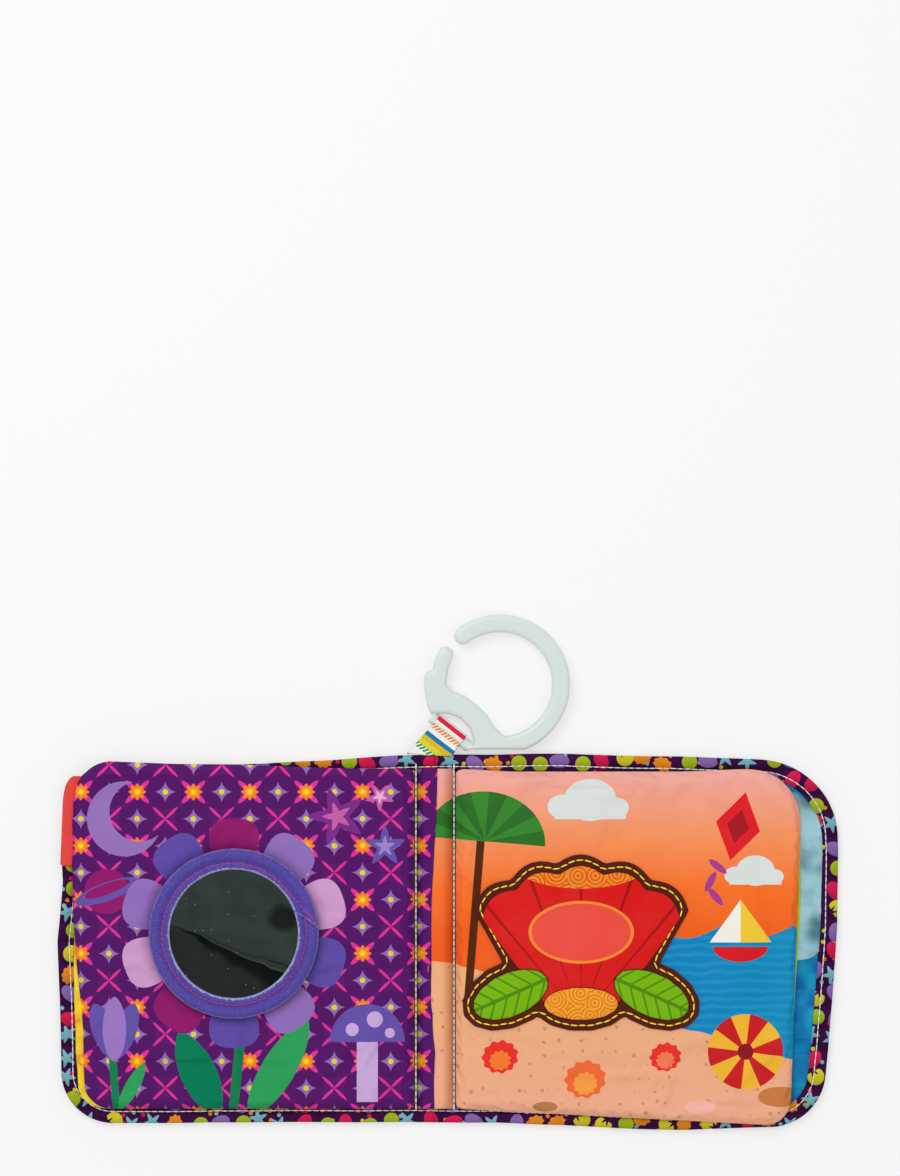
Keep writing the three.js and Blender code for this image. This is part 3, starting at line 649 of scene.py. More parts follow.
# Pages: a puffed printed cloth over the filling, and a plain cloth under it
pageLook = {
    "spacing": 2.4 * mm,
    "clear": 8.25 * mm,
    "pressure": 4.0,
    "slack": -0.05,
    "cap": 1.3 * mm,
    "ceiling": 8.85 * mm,
    "loft": [(0, 0.06), (0.5, 0.2), (1.5, 0.5), (3, 0.74), (5, 0.89), (9, 0.97), (18, 1.0)],
    "puckerDepth": 0.45 * mm,
    "puckerWidth": 7 * mm,
    "ringFlat": 0.35 * mm,
    # how far the sewn edges stand from the plain outline, in mm, at places along each side in mm
    "leftTop": [(-146, 0.2), (-140, 1.2), (-131, 3.0), (-120, 2.5), (-104, 1.9), (-80, 1.7), (-50, 0.5), (-30, 0)],
    "leftSide": [(-68, 4.4), (-48, 3.9), (-34, 3.6), (-25, 2.8), (-8, 0.9), (14, -0.5), (47, -0.7), (60, 0)],
    "leftUnder": [(-68, 2.0), (-52, 1.3), (-24, 0.1), (0, 0), (60, 0)],
    "rightTop": [(8, -0.1), (16, -0.4), (30, -1.2), (100, -1.2), (118, -0.4), (130, 0)],
}


def pageEdge(node, side, spacing, under=False):
    # a page layer's outline, uneven as sewn, kept clear of the seam that it turns about
    loop = evenly(topEdge(node), spacing)
    across, upright = loop[:, 0] / mm, loop[:, 1] / mm
    upper = np.clip((upright - 52) / 10, 0, 1)
    if side == "left":
        outer = np.clip((-118 - across) / 18, 0, 1)
        loop[:, 0] += np.interp(upright, *zip(*pageLook["leftUnder" if under else "leftSide"])) * outer * mm
        if not under:  # the outer part of the top edge stands over the cover's
            loop[:, 1] += np.interp(across, *zip(*pageLook["leftTop"])) * upper * mm
        loop[:, 0] = np.minimum(loop[:, 0], -pageLook["clear"])
    else:
        loop[:, 1] += np.interp(across, *zip(*pageLook["rightTop"])) * upper * mm
        loop[:, 0] = np.maximum(loop[:, 0], pageLook["clear"])
    return loop


def inflate(piece, pins, cap):
    group = piece.vertex_groups.new(name="sewn")
    for index, weight in enumerate(pins):
        group.add([index], float(weight), "REPLACE")
    before = np.array([v.co for v in piece.data.vertices])
    cloth = piece.modifiers.new("fill", "CLOTH")
    cloth.settings.quality = 6
    cloth.settings.mass = 0.15
    cloth.settings.tension_stiffness = 12
    cloth.settings.compression_stiffness = 8
    cloth.settings.shear_stiffness = 4
    cloth.settings.bending_stiffness = 0.25
    cloth.settings.vertex_group_mass = "sewn"
    cloth.settings.use_pressure = True
    cloth.settings.uniform_pressure_force = pageLook["pressure"]
    cloth.settings.shrink_min = pageLook["slack"]
    cloth.settings.effector_weights.gravity = 0
    cloth.collision_settings.use_self_collision = False
    cloth.collision_settings.use_collision = False
    cloth.point_cache.frame_start = 1
    cloth.point_cache.frame_end = 20
    for step in range(1, 21):
        scene.frame_set(step)
    applied(piece)
    scene.frame_set(1)
    moved = np.array([v.co for v in piece.data.vertices]) - before
    length = np.maximum(np.linalg.norm(moved, axis=1, keepdims=True), 1e-9)
    moved *= np.minimum(1, cap / length)
    after = before + moved
    after[:, 2] = np.minimum(after[:, 2], pageLook["ceiling"])
    piece.data.vertices.foreach_set("co", after.ravel())
    piece.data.update()


def makePage(side, seed):
    node = f"{side}_page_front_cloth"
    low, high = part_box(node)
    loop = pageEdge(node, side, pageLook["spacing"])
    insets = [0.5 * mm, 1.2 * mm, 2.2 * mm, 3.6 * mm]
    xy, faces = filled(loop, pageLook["spacing"], insets)
    inwards = np.clip(insideDistance(xy, loop), 0, None)
    rise = np.interp(inwards / mm, [d for d, _ in pageLook["loft"]], [h for _, h in pageLook["loft"]])
    depth = high.z - low.z
    # pull lines run in from the sewn edge
    around = np.arctan2(xy[:, 1] - xy[:, 1].mean(), xy[:, 0] - xy[:, 0].mean())
    spot = np.stack([np.cos(around), np.sin(around)], axis=1) * 70 * mm
    pucker = smoothNoise(spot, pageLook["puckerWidth"], seed) * pageLook["puckerDepth"]
    pucker *= np.exp(-((inwards - 4 * mm) / (5 * mm)) ** 2)
    soft = smoothNoise(xy, 30 * mm, seed + 3) * 0.25 * mm * np.clip(inwards / (8 * mm), 0, 1)
    top = low.z + depth * 0.93 * rise + pucker + soft
    if side == "left":
        away = np.hypot(xy[:, 0] - mirrorCentre[0], xy[:, 1] - mirrorCentre[1])
        under = np.clip(1 - (away - 33 * mm) / (5 * mm), 0, 1)
        top = np.minimum(top, high.z - pageLook["ringFlat"] * under)
    pad = shell(f"{side}_page_pad", xy, faces, top, np.full(len(xy), low.z))
    count = len(xy)
    pins = np.ones(count * 2)
    pins[:count] = np.clip(1 - inwards / (2.5 * mm), 0, 1)
    if side == "left":
        pins[:count] = np.maximum(pins[:count], under)
    inflate(pad, pins, pageLook["cap"])
    subdivision = pad.modifiers.new("smooth", "SUBSURF")
    subdivision.levels = subdivision.render_levels = 1
    applied(pad)
    pad.data.shade_smooth()
    ready(pad, f"{side}_page", finishes["purplePage" if side == "left" else "beachPage"],
          (node, f"{side}_page_batting"))

    backNode = f"{side}_page_back_cloth"
    backLow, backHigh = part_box(backNode)
    backLoop = pageEdge(backNode, side, 2 * mm, under=True)
    if side == "left":
        # the reverse cloth peeps out beside the outer edge, a little unevenly
        proud = np.clip((-118 * mm - backLoop[:, 0]) / (14 * mm), 0, 1)
        backLoop = moveOut(backLoop, proud * 0.35 * mm * smoothNoise(backLoop, 9 * mm, 2.2))
    else:
        # and here beside the middle of the outer edge
        proud = np.exp(-((backLoop[:, 1] - 10 * mm) / (22 * mm)) ** 2) * (backLoop[:, 0] > 130 * mm)
        backLoop = moveOut(backLoop, proud * 1.1 * mm)
    back = laidCloth(
        f"{side}_page_back", backLoop, level(backLow.z), backHigh.z - backLow.z - 0.05 * mm, spacing=4 * mm)
    ready(back, f"{side}_page", finishes["sunnyPageBack" if side == "left" else "greenPageBack"], (backNode,))
    filmNode = f"{side}_page_crinkle_film"
    filmLow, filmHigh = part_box(filmNode)
    filmLoop = moveOut(pageEdge(filmNode, side, 4 * mm), -1 * mm)
    film = laidCloth(f"{side}_page_crackle_sheet", filmLoop, level(filmLow.z), filmHigh.z - filmLow.z, spacing=6 * mm)
    ready(film, f"{side}_page", finishes["crinkleFilm"], (filmNode,))
    return BVHTree.FromObject(pad, bpy.context.evaluated_depsgraph_get())


def topEdge(nodeName):
    # the outer edge of a curved CAD piece, seen from above
    low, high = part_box(nodeName)
    work = bmesh.new()
    work.from_mesh(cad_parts[nodeName].data)
    bmesh.ops.remove_doubles(work, verts=work.verts, dist=0.005 * mm)
    work.normal_update()
    flat = {f for f in work.faces if f.normal.z < -0.9 and f.calc_center_median().z < low.z + 0.05 * mm}
    following = {}
    for face in flat:
        for loop in face.loops:
            if not any(f in flat for f in loop.edge.link_faces if f is not face):
                following[loop.vert.index] = loop.link_loop_next.vert.index
    places = {v.index: (v.co.x, v.co.y) for v in work.verts}
    loops = []
    while following:
        at = next(iter(following))
        run = []
        while at in following:
            run.append(places[at])
            at = following.pop(at)
        loops.append(run)
    work.free()
    longest = np.array(max(loops, key=lambda run: np.ptp([p[0] for p in run]) * np.ptp([p[1] for p in run])))
    return longest[::-1]


def surfaceOf(tree, fallback):
    def support(xy):
        heights = []
        for x, y in xy:
            hit = tree.ray_cast(Vector((x, y, 0.05)), Vector((0, 0, -1)))[0]
            heights.append(hit.z if hit and hit.z > fallback else fallback)
        return np.array(heights)
    return support


# Gutter: the two page cloths roll down between the seams
gutterLook = {
    "across": 18,
    "along": 150,
    "wrinkle": 0.5 * mm,
    "wrinkleSize": 6 * mm,
    "cloth": 0.5 * mm,
    # where the left cloth ends over the right one, in mm, from the bottom to the top
    "fold": [(-68, -0.9), (-60, -1.0), (-44, -0.8), (-24, -2.3), (16, -2.1), (32, -1.2), (54, 0.1), (70, 0.3)],
}


def makeGutter(side, material):
    look = gutterLook
    node = f"gutter_{side}_cloth"
    low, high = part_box(node)
    sign = -1 if side == "left" else 1
    outer = low.x if side == "left" else high.x
    lap = 0.6 * mm
    vertices, faces = [], []
    for j in range(look["along"] + 1):
        y = low.y + (high.y - low.y) * j / look["along"]
        end = min(j, look["along"] - j) / look["along"] * (high.y - low.y)
        drop = 1.4 * mm * math.exp(-end / (2.5 * mm))
        fold = float(np.interp(y / mm, *zip(*look["fold"]))) * mm + 0.25 * mm * noise_vector((0, y / (7 * mm), 4))[0]
        inner = fold - lap * sign
        for i in range(look["across"] + 1):
            share = i / look["across"]
            x = inner + (outer - inner) * share
            arch = math.cos(min(abs(x / outer), 1) * math.pi / 2) ** 0.5
            crease = 0.25 * mm * math.exp(-(((x - fold) / (1.0 * mm)) ** 2))
            wave = noise_vector((x / (14 * mm), y / look["wrinkleSize"], 3.0 + sign))[0]
            lift = wave * look["wrinkle"] * math.sin(math.pi * share)
            if side == "left":
                lift += 0.35 * mm * math.exp(-share / 0.2)
            z = low.z + look["cloth"] + (high.z - low.z - look["cloth"]) * arch * 0.92 - crease - drop + lift
            vertices.append((x, y, max(z, low.z + look["cloth"])))
    row = look["across"] + 1
    for j in range(look["along"]):
        for i in range(look["across"]):
            faces.append((j * row + i, j * row + i + 1, (j + 1) * row + i + 1, (j + 1) * row + i)[::sign])
    cloth = meshObject(f"gutter_{side}_sheet", vertices, faces)
    thick = cloth.modifiers.new("cloth", "SOLIDIFY")
    thick.thickness = look["cloth"]
    thick.offset = -1
    applied(cloth)
    outwards(cloth)
    cloth.data.shade_smooth()
    ready(cloth, "spine", material, (node,))


# Mirror: a soft foil disc under a padded velour ring with a lapped join
mirrorLook = {
    "ripple": 0.16 * mm,
    "joinAngle": 0.21,
    "joinSlope": -35.0,
    "joinStep": 1.1 * mm,
    "joinGroove": 1.2 * mm,
    # the stitching's distance from the middle, in mm, at angles in degrees from where it starts to where it runs off
    "stitches": [(11, 29.0), (-60, 28.4), (-180, 28.6), (-270, 28.2), (-302, 27.6), (-325, 27.4), (-340, 29.4), (-352, 33.0)],
}
ringProfile = [
    (28.0, 0.05), (25.75, 1.35), (25.6, 1.9), (25.9, 2.5), (26.5, 2.8), (27.2, 2.9), (27.9, 2.75), (28.5, 2.3),
    (29.0, 1.95), (29.5, 2.45), (30.2, 3.3), (31.0, 3.75), (31.8, 3.8), (32.7, 3.35), (33.5, 2.5), (33.95, 1.5),
    (33.9, 0.6), (33.2, 0.0), (30.5, -0.25),
]


def turnedShape(name, profile, steps, change):
    centreX, centreY = mirrorCentre
    vertices, faces = [], []
    for i in range(steps):
        angle = 2 * math.pi * i / steps
        for radius, z in profile:
            r, h = change(angle, radius * mm, z)
            vertices.append((centreX + r * math.cos(angle), centreY + r * math.sin(angle), h))
    count = len(profile)
    for i in range(steps):
        for j in range(count):
            a, b = i * count + j, i * count + (j + 1) % count
            c, d = (i + 1) % steps * count + (j + 1) % count, (i + 1) % steps * count + j
            faces.append((a, b, c, d))
    piece = meshObject(name, vertices, faces)
    outwards(piece)
    return piece


def makeMirror():
    look = mirrorLook
    base = ringLow.z

    def ringShape(angle, r, z):
        turn = (angle - look["joinAngle"] - (r - 29.8 * mm) * look["joinSlope"] + math.pi) % (2 * math.pi) - math.pi
        upper = min(max(z / 2.0, 0), 1)
        step = look["joinStep"] * math.exp(-turn / 0.3) if turn > 0 else 0
        groove = look["joinGroove"] * math.exp(-((turn / 0.018) ** 2))
        spot = (math.cos(angle) * r / (9 * mm), math.sin(angle) * r / (9 * mm), 5.0)
        uneven = noise_vector(spot)[0] * 0.28 * mm
        top = min(base + z * mm + (step - groove + uneven) * upper, base + 4.0 * mm)
        return r + noise_vector((spot[0], spot[1], 9.0))[0] * 0.15 * mm * upper, top

    ring = turnedShape("velour_ring", ringProfile, 540, ringShape)
    ready(ring, "left_page", finishes["velour"], ("mirror_ring",))

    filmLow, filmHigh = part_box("mirror_film")
    radius = (filmHigh.x - filmLow.x) / 2
    turns = np.arange(96) * 2 * math.pi / 96
    loop = np.stack([np.cos(turns) * radius + mirrorCentre[0], np.sin(turns) * radius + mirrorCentre[1]], axis=1)
    film = laidCloth(
        "mirror_foil", loop, level(filmLow.z), filmHigh.z - filmLow.z - 0.1 * mm, spacing=1.2 * mm,
        ripple=look["ripple"], rippleSize=11 * mm, seed=12.0)
    ready(film, "left_page", finishes["mirrorFoil"], ("mirror_film",))


# Applique: felt shape, patterned cloth pieces on it, each following the padded page
def makeApplique(support):
    parts = {
        "applique_felt": ("felt_backing", "felt", 0.25 * mm),
        "applique_shell": ("shell_cloth", "shellCloth", 0.7 * mm),
        "applique_foot": ("foot_cloth", "ringedCloth", 0.5 * mm),
        "applique_left_leaf": ("left_leaf_cloth", "leafCloth", 0.5 * mm),
        "applique_right_leaf": ("right_leaf_cloth", "leafCloth", 0.5 * mm),
    }
    feltLow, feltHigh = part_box("applique_felt")
    tree = None
    for node, (name, look, crown) in parts.items():
        low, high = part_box(node)
        if node == "applique_felt":
            under = support
            thickness = high.z - low.z
        else:
            under = surfaceOf(tree, feltHigh.z - 1.2 * mm)
            thickness = high.z - low.z - 0.05 * mm
        piece = laidCloth(
            name, evenly(topOutline(node), 1.2 * mm), under, thickness, spacing=1.6 * mm, crown=crown,
            ripple=0.1 * mm, rippleSize=8 * mm, seed=3.0)
        ready(piece, "right_page", finishes[look], (node,))
        if node == "applique_felt":
            tree = BVHTree.FromObject(piece, bpy.context.evaluated_depsgraph_get())
    return surfaceOf(tree, feltHigh.z - 1.2 * mm)


def makeTab():
    low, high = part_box("side_tab")
    loop = evenly(topOutline("side_tab"), 1 * mm)
    # the folded outer edge slants in towards the top, where its corner is rounded off
    outer = (high.x - loop[:, 0]) / (high.x - low.x)
    upper = (loop[:, 1] - low.y) / (high.y - low.y)
    loop[:, 0] += outer * (1.4 * mm * upper + 1.5 * mm * np.exp((loop[:, 1] - high.y) / (1.6 * mm)))
    tab = laidCloth(
        "side_tab_cloth", loop, level(low.z), high.z - low.z, spacing=1.4 * mm, ripple=0.15 * mm, rippleSize=6 * mm)
    ready(tab, "left_page", finishes["coralTab"], ("side_tab",))


# Link ring and its ribbon
linkLook = {"voxel": 0.4 * mm, "smoothing": 9, "ribbonWidth": 13.4 * mm, "ribbonCloth": 0.6 * mm, "fan": 0.10}


def makeLink():
    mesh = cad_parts["link_ring"].data.copy()
    ring = bpy.data.objects.new("link_ring_moulding", mesh)
    scene.collection.objects.link(ring)
    work = bmesh.new()
    work.from_mesh(mesh)
    # the bar under the ribbon, run on into the moulding at both ends
    barAxis = Vector((0.786696, -0.617338, 0))
    middle = Matrix.Translation((Vector((5.6, 83.95, 3.25)) + barAxis * 1.9) * mm)
    middle = middle @ barAxis.to_track_quat("Z", "Y").to_matrix().to_4x4()
    arm = Vector((0.8, 4.6, 0))
    side = Matrix.Translation(Vector((0, 90.9, 3.25)) * mm) @ arm.to_track_quat("Z", "Y").to_matrix().to_4x4()
    bmesh.ops.create_cone(
        work, cap_ends=True, segments=24, radius1=2.3 * mm, radius2=2.3 * mm, depth=17.7 * mm, matrix=middle)
    bmesh.ops.create_cone(
        work, cap_ends=True, segments=20, radius1=1.3 * mm, radius2=1.5 * mm, depth=arm.length * mm, matrix=side)
    work.to_mesh(mesh)
    work.free()
    outwards(ring)
    remesh = ring.modifiers.new("even", "REMESH")
    remesh.mode = "VOXEL"
    remesh.voxel_size = linkLook["voxel"]
    rounded = ring.modifiers.new("rounded", "SMOOTH")
    rounded.factor = 0.6
    rounded.iterations = linkLook["smoothing"]
    applied(ring)
    ring.data.shade_smooth()
    ready(ring, "link_ring", finishes["linkPlastic"], ("link_ring",))


def makeRibbon():
    look = linkLook
    low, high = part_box("ribbon_loop")
    centre = Vector((5.6, 83.95, 3.25)) * mm
    along = Vector((0.786696, -0.617338, 0))
    down = Vector((-0.617338, -0.786696, 0))
    cutY = low.y
    inner, neck, half = 2.75 * mm, 6.4 * mm, 0.5 * mm
    steps = 36
    columns = 16
    vertices, faces, lengths = [], [], []
    for j in range(columns + 1):
        offset = look["ribbonWidth"] * (j / columns - 0.5)
        reach = (centre.y + along.y * offset - cutY) / -down.y
        line = []
        for step in range(10):  # lower tail, out of the cover
            share = step / 10
            t = reach + (neck - reach) * share
            line.append((t, -half - 0.35 * mm * math.sin(math.pi * share)))
        for step in range(steps + 1):  # round the bar
            angle = math.radians(-112 + 224 * step / steps)
            ease = min(step, steps - step) / 4
            lift = inner * min(1, 0.72 + 0.28 * ease)
            line.append((-math.cos(angle) * lift, math.sin(angle) * lift))
        for step in range(1, 11):
            share = step / 10
            t = neck + (reach - neck) * share
            line.append((t, half + 0.35 * mm * math.sin(math.pi * share)))
        lengthsOn = [math.hypot(b[0] - a[0], b[1] - a[1]) for a, b in zip(line, line[1:])]
        run = -sum(lengthsOn[:9 + steps // 2])
        for k, (t, z) in enumerate(line):
            spread = 1 + look["fan"] * max(t, 0) / (12 * mm)
            wave = 0.25 * mm * math.sin(offset / (2.6 * mm)) * max(t, 0) / (12 * mm)
            point = centre + along * offset * spread + down * t + Vector((0, 0, z + wave))
            if k:
                run += lengthsOn[k - 1]
            vertices.append(point)
            lengths.append((j / columns, run / (20 * mm)))
    count = len(line)
    for j in range(columns):
        for k in range(count - 1):
            faces.append((j * count + k, j * count + k + 1, (j + 1) * count + k + 1, (j + 1) * count + k))
    ribbon = meshObject("ribbon_band", vertices, faces)
    stripes = ribbon.data.uv_layers.new(name="stripes")
    for loop in ribbon.data.loops:
        stripes.data[loop.index].uv = lengths[loop.vertex_index]
    thick = ribbon.modifiers.new("cloth", "SOLIDIFY")
    thick.thickness = look["ribbonCloth"]
    thick.offset = 0
    applied(ribbon)
    work = bmesh.new()
    work.from_mesh(ribbon.data)
    bmesh.ops.recalc_face_normals(work, faces=work.faces)
    work.to_mesh(ribbon.data)
    work.free()
    ribbon.data.shade_smooth()
    ready(ribbon, "ribbon_loop", finishes["ribbon"], ("ribbon_loop",))


# Cloth stitches: one node tree lays short thread loops along paths
def makeStitchTree():
    tree = bpy.data.node_groups.new("threadAlongPath", "GeometryNodeTree")
    face = tree.interface
    face.new_socket(name="Path", in_out="INPUT", socket_type="NodeSocketGeometry")
    for name in ("Spacing", "Stitch Length", "Thread Radius"):
        face.new_socket(name=name, in_out="INPUT", socket_type="NodeSocketFloat")
    face.new_socket(name="Thread", in_out="INPUT", socket_type="NodeSocketMaterial")
    face.new_socket(name="Stitches", in_out="OUTPUT", socket_type="NodeSocketGeometry")
    given = add(tree, "NodeGroupInput").outputs
    curve = add(tree, "GeometryNodeMeshToCurve", {"Mesh": given["Path"]}).outputs["Curve"]
    even = add(tree, "GeometryNodeResampleCurve", {"Curve": curve, "Length": given["Spacing"]}, mode="LENGTH")
    tangent = add(tree, "GeometryNodeInputTangent").outputs["Tangent"]
    turn = add(tree, "FunctionNodeAlignRotationToVector", {"Vector": tangent}, axis="Z").outputs["Rotation"]
    ball = add(tree, "GeometryNodeMeshUVSphere", {"Segments": 6, "Rings": 5, "Radius": 1.0}).outputs["Mesh"]
    half = add(tree, "ShaderNodeMath", {0: given["Stitch Length"], 1: 0.5}, operation="MULTIPLY").outputs[0]
    radius = given["Thread Radius"]
    size = add(tree, "ShaderNodeCombineXYZ", {"X": radius, "Y": radius, "Z": half}).outputs[0]
    shaped = add(tree, "GeometryNodeTransform", {"Geometry": ball, "Scale": size}).outputs["Geometry"]
    placed = add(tree, "GeometryNodeInstanceOnPoints", {
        "Points": even.outputs["Curve"], "Instance": shaped, "Rotation": turn}).outputs["Instances"]
    real = add(tree, "GeometryNodeRealizeInstances", {"Geometry": placed}).outputs["Geometry"]
    dressed = add(tree, "GeometryNodeSetMaterial", {"Geometry": real, "Material": given["Thread"]})
    add(tree, "NodeGroupOutput", {"Stitches": dressed.outputs["Geometry"]})
    return tree


def sewn(name, body, paths, material, nodes, spacing=2.8 * mm, stitch=2.9 * mm, radius=0.25 * mm, across=None):
    vertices, edges = [], []
    for path, closed in paths:
        first = len(vertices)
        vertices.extend(tuple(p) for p in path)
        edges.extend((first + i, first + i + 1) for i in range(len(path) - 1))
        if closed:
            edges.append((len(vertices) - 1, first))
    mesh = bpy.data.meshes.new(name)
    mesh.from_pydata(vertices, edges, [])
    piece = bpy.data.objects.new(name, mesh)
    scene.collection.objects.link(piece)
    modifier = piece.modifiers.new("stitches", "NODES")
    modifier.node_group = stitchTree
    values = {"Spacing": spacing, "Stitch Length": stitch, "Thread Radius": radius, "Thread": material}
    for item in stitchTree.interface.items_tree:
        if item.in_out == "INPUT" and item.name in values:
            modifier[item.identifier] = values[item.name]
    applied(piece)
    piece.data.shade_smooth()
    return ready(piece, body, material, nodes, across)


def sewAll():
    thread = finishes["whiteThread"]
    top = coverTop - 0.35 * mm
    for side, corners, sign, body in (
        ("front", frontCorners, -1, "front_cover"), ("back", backCorners, 1, "back_cover"),
    ):
        edge = openEdge(corners, coverLook["stitchInset"], sign)
        edge = edge + coverEdge(corners, sign, 2.0 if side == "front" else 6.0)
        path = [(x, y, top) for x, y in edge]
        node = f"{side}_cover_topstitch"
        nodes = (node, "spine_top_topstitch", "spine_bottom_topstitch") if side == "front" else (node,)
        sewn(f"{side}_cover_stitching", body, [(path, False)], thread, nodes,
             across=(4 * mm * sign, 12 * mm * sign))
    low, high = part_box("left_seam_thread")
    for side in ("left", "right"):
        low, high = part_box(f"{side}_seam_thread")
        x = (low.x + high.x) / 2
        ys = np.linspace(low.y, high.y, 90)
        path = [(x, y, high.z - 0.1 * mm) for y in ys]
        sewn(f"{side}_seam_stitching", "spine", [(path, False)], thread, (f"{side}_seam_thread",),
             spacing=2.6 * mm, stitch=2.7 * mm, radius=0.29 * mm)


def finishPage(pageHeight):
    ring = BVHTree.FromObject(bpy.data.objects["velour_ring"], bpy.context.evaluated_depsgraph_get())
    onRing = surfaceOf(ring, ringLow.z)
    angles, reach = zip(*mirrorLook["stitches"])
    turns = np.linspace(angles[0], angles[-1], 260)
    spread = np.interp(-turns, [-a for a in angles], reach) * mm
    places = np.stack([mirrorCentre[0] + spread * np.cos(np.radians(turns)),
                       mirrorCentre[1] + spread * np.sin(np.radians(turns))], axis=1)
    path = [(x, y, z + 0.08 * mm) for (x, y), z in zip(places, onRing(places))]
    sewn("ring_stitching", "left_page", [(path, False)], finishes["magentaThread"], ("mirror_ring_stitch",),
         spacing=2.2 * mm, stitch=2.2 * mm, radius=0.24 * mm)
    loop = evenly(moveOut(evenly(topOutline("applique_felt"), 1.5 * mm), -2.2 * mm), 1.5 * mm)
    heights = pageHeight(loop)
    path = [(x, y, z + 0.12 * mm) for (x, y), z in zip(loop, heights)]
    sewn("felt_stitching", "right_page", [(path, True)], finishes["yellowThread"], ("applique_border_stitch",),
         spacing=3.4 * mm, stitch=3.1 * mm, radius=0.33 * mm)


# Materials
finishes = {}


def plainCloth(name, colour, thread=0.45, weave=0.06, ripple=0.25, roughness=0.85, sheen=0.05):
    # woven polyester or cotton: matt, with a soft sheen where it turns away
    material, tree, shader, place = newMaterial(name)
    cloud = add(tree, "ShaderNodeTexNoise", {"Vector": place, "Scale": 0.05, "Detail": 4.0}).outputs["Fac"]
    light = add(tree, "ShaderNodeHueSaturation", {"Color": linear(colour), "Value": 1.18})
    dark = add(tree, "ShaderNodeHueSaturation", {"Color": linear(colour), "Value": 0.82})
    mixed = paint(tree, dark.outputs[0], cloud, light.outputs[0])
    tree.links.new(mixed, shader.inputs["Base Color"])
    shader.inputs["Roughness"].default_value = roughness
    shader.inputs["Sheen Weight"].default_value = sheen
    wovenFinish(tree, shader, place, thread, weave, ripple)
    return material


def scattered(tree, place, cell, seed, loose=0.7):
    # one spot for each square of a loose grid: the way to its middle in squares, and three chances of its own
    moved = add(tree, "ShaderNodeVectorMath", {0: place, 1: (seed, seed * 2, 0)}).outputs[0]
    flat = add(tree, "ShaderNodeVectorMath", {0: moved, 1: (1, 1, 0)}, operation="MULTIPLY").outputs[0]
    cells = add(tree, "ShaderNodeTexVoronoi", {"Vector": flat, "Scale": 1 / cell, "Randomness": loose},
                voronoi_dimensions="2D")
    offset = add(tree, "ShaderNodeVectorMath", {0: flat, 1: cells.outputs["Position"]}, operation="SUBTRACT")
    chance = add(tree, "ShaderNodeSeparateColor", {"Color": cells.outputs["Color"]}).outputs
    return resized(tree, offset.outputs[0], cell), chance


def steps(tree, value, colours):
    # bands of plain colour, one after another, for values from 0 to 1
    ramp = add(tree, "ShaderNodeValToRGB", {"Fac": value})
    ramp.color_ramp.interpolation = "CONSTANT"
    elements = ramp.color_ramp.elements
    while len(elements) < len(colours):
        elements.new(0.5)
    for i, colour in enumerate(colours):
        elements[i].position = i / len(colours)
    for i, colour in enumerate(colours):
        elements[i].color = linear(colour)
    return ramp.outputs["Color"]


def blended(tree, value, stops):
    # colours that run into one another, from the first place to the last
    first, last = stops[0][0], stops[-1][0]
    inputs = {"Value": value, "From Min": first, "From Max": last}
    share = add(tree, "ShaderNodeMapRange", inputs).outputs["Result"]
    ramp = add(tree, "ShaderNodeValToRGB", {"Fac": share})
    elements = ramp.color_ramp.elements
    while len(elements) < len(stops):
        elements.new(0.5)
    for element, (at, _) in zip(elements, stops):
        element.position = (at - first) / (last - first)
    for element, (_, colour) in zip(elements, stops):
        element.color = linear(colour)
    return ramp.outputs["Color"]


def resized(tree, vector, size):
    return add(tree, "ShaderNodeVectorMath", {0: vector, "Scale": 1 / size}, operation="SCALE").outputs[0]


def maths(tree, operation, *values):
    return add(tree, "ShaderNodeMath", dict(enumerate(values)), operation=operation).outputs[0]


def sparkle(tree, unit, hollow=0.55):
    # four points with hollow sides between them
    folded = add(tree, "ShaderNodeVectorMath", {0: unit}, operation="ABSOLUTE").outputs[0]
    parts = add(tree, "ShaderNodeSeparateXYZ", {0: folded}).outputs
    both = maths(tree, "ADD", maths(tree, "POWER", parts[0], hollow), maths(tree, "POWER", parts[1], hollow))
    return maths(tree, "LESS_THAN", both, 1.0)


def printedCloth(name, colourOf, sheen=0.01, ripple=0.3, rippleSize=12.0, bends=False):
    # dye-printed brushed polyester: strong even colour, matt, with only a trace of gloss from the fibres
    material, tree, shader, place = newMaterial(name, bends)
    colour = colourOf(tree, place)
    fade = add(tree, "ShaderNodeTexNoise", {"Vector": place, "Scale": 0.06, "Detail": 5.0}).outputs["Fac"]
    worn = add(tree, "ShaderNodeHueSaturation", {"Color": colour, "Value": 1.1, "Saturation": 0.97}).outputs[0]
    colour = paint(tree, colour, fade, worn)
    tree.links.new(colour, shader.inputs["Base Color"])
    shader.inputs["Roughness"].default_value = 0.75
    shader.inputs["Specular IOR Level"].default_value = 0.03
    shader.inputs["Sheen Weight"].default_value = sheen
    wovenFinish(tree, shader, place, 0.4, 0.05, ripple, rippleSize)
    return material


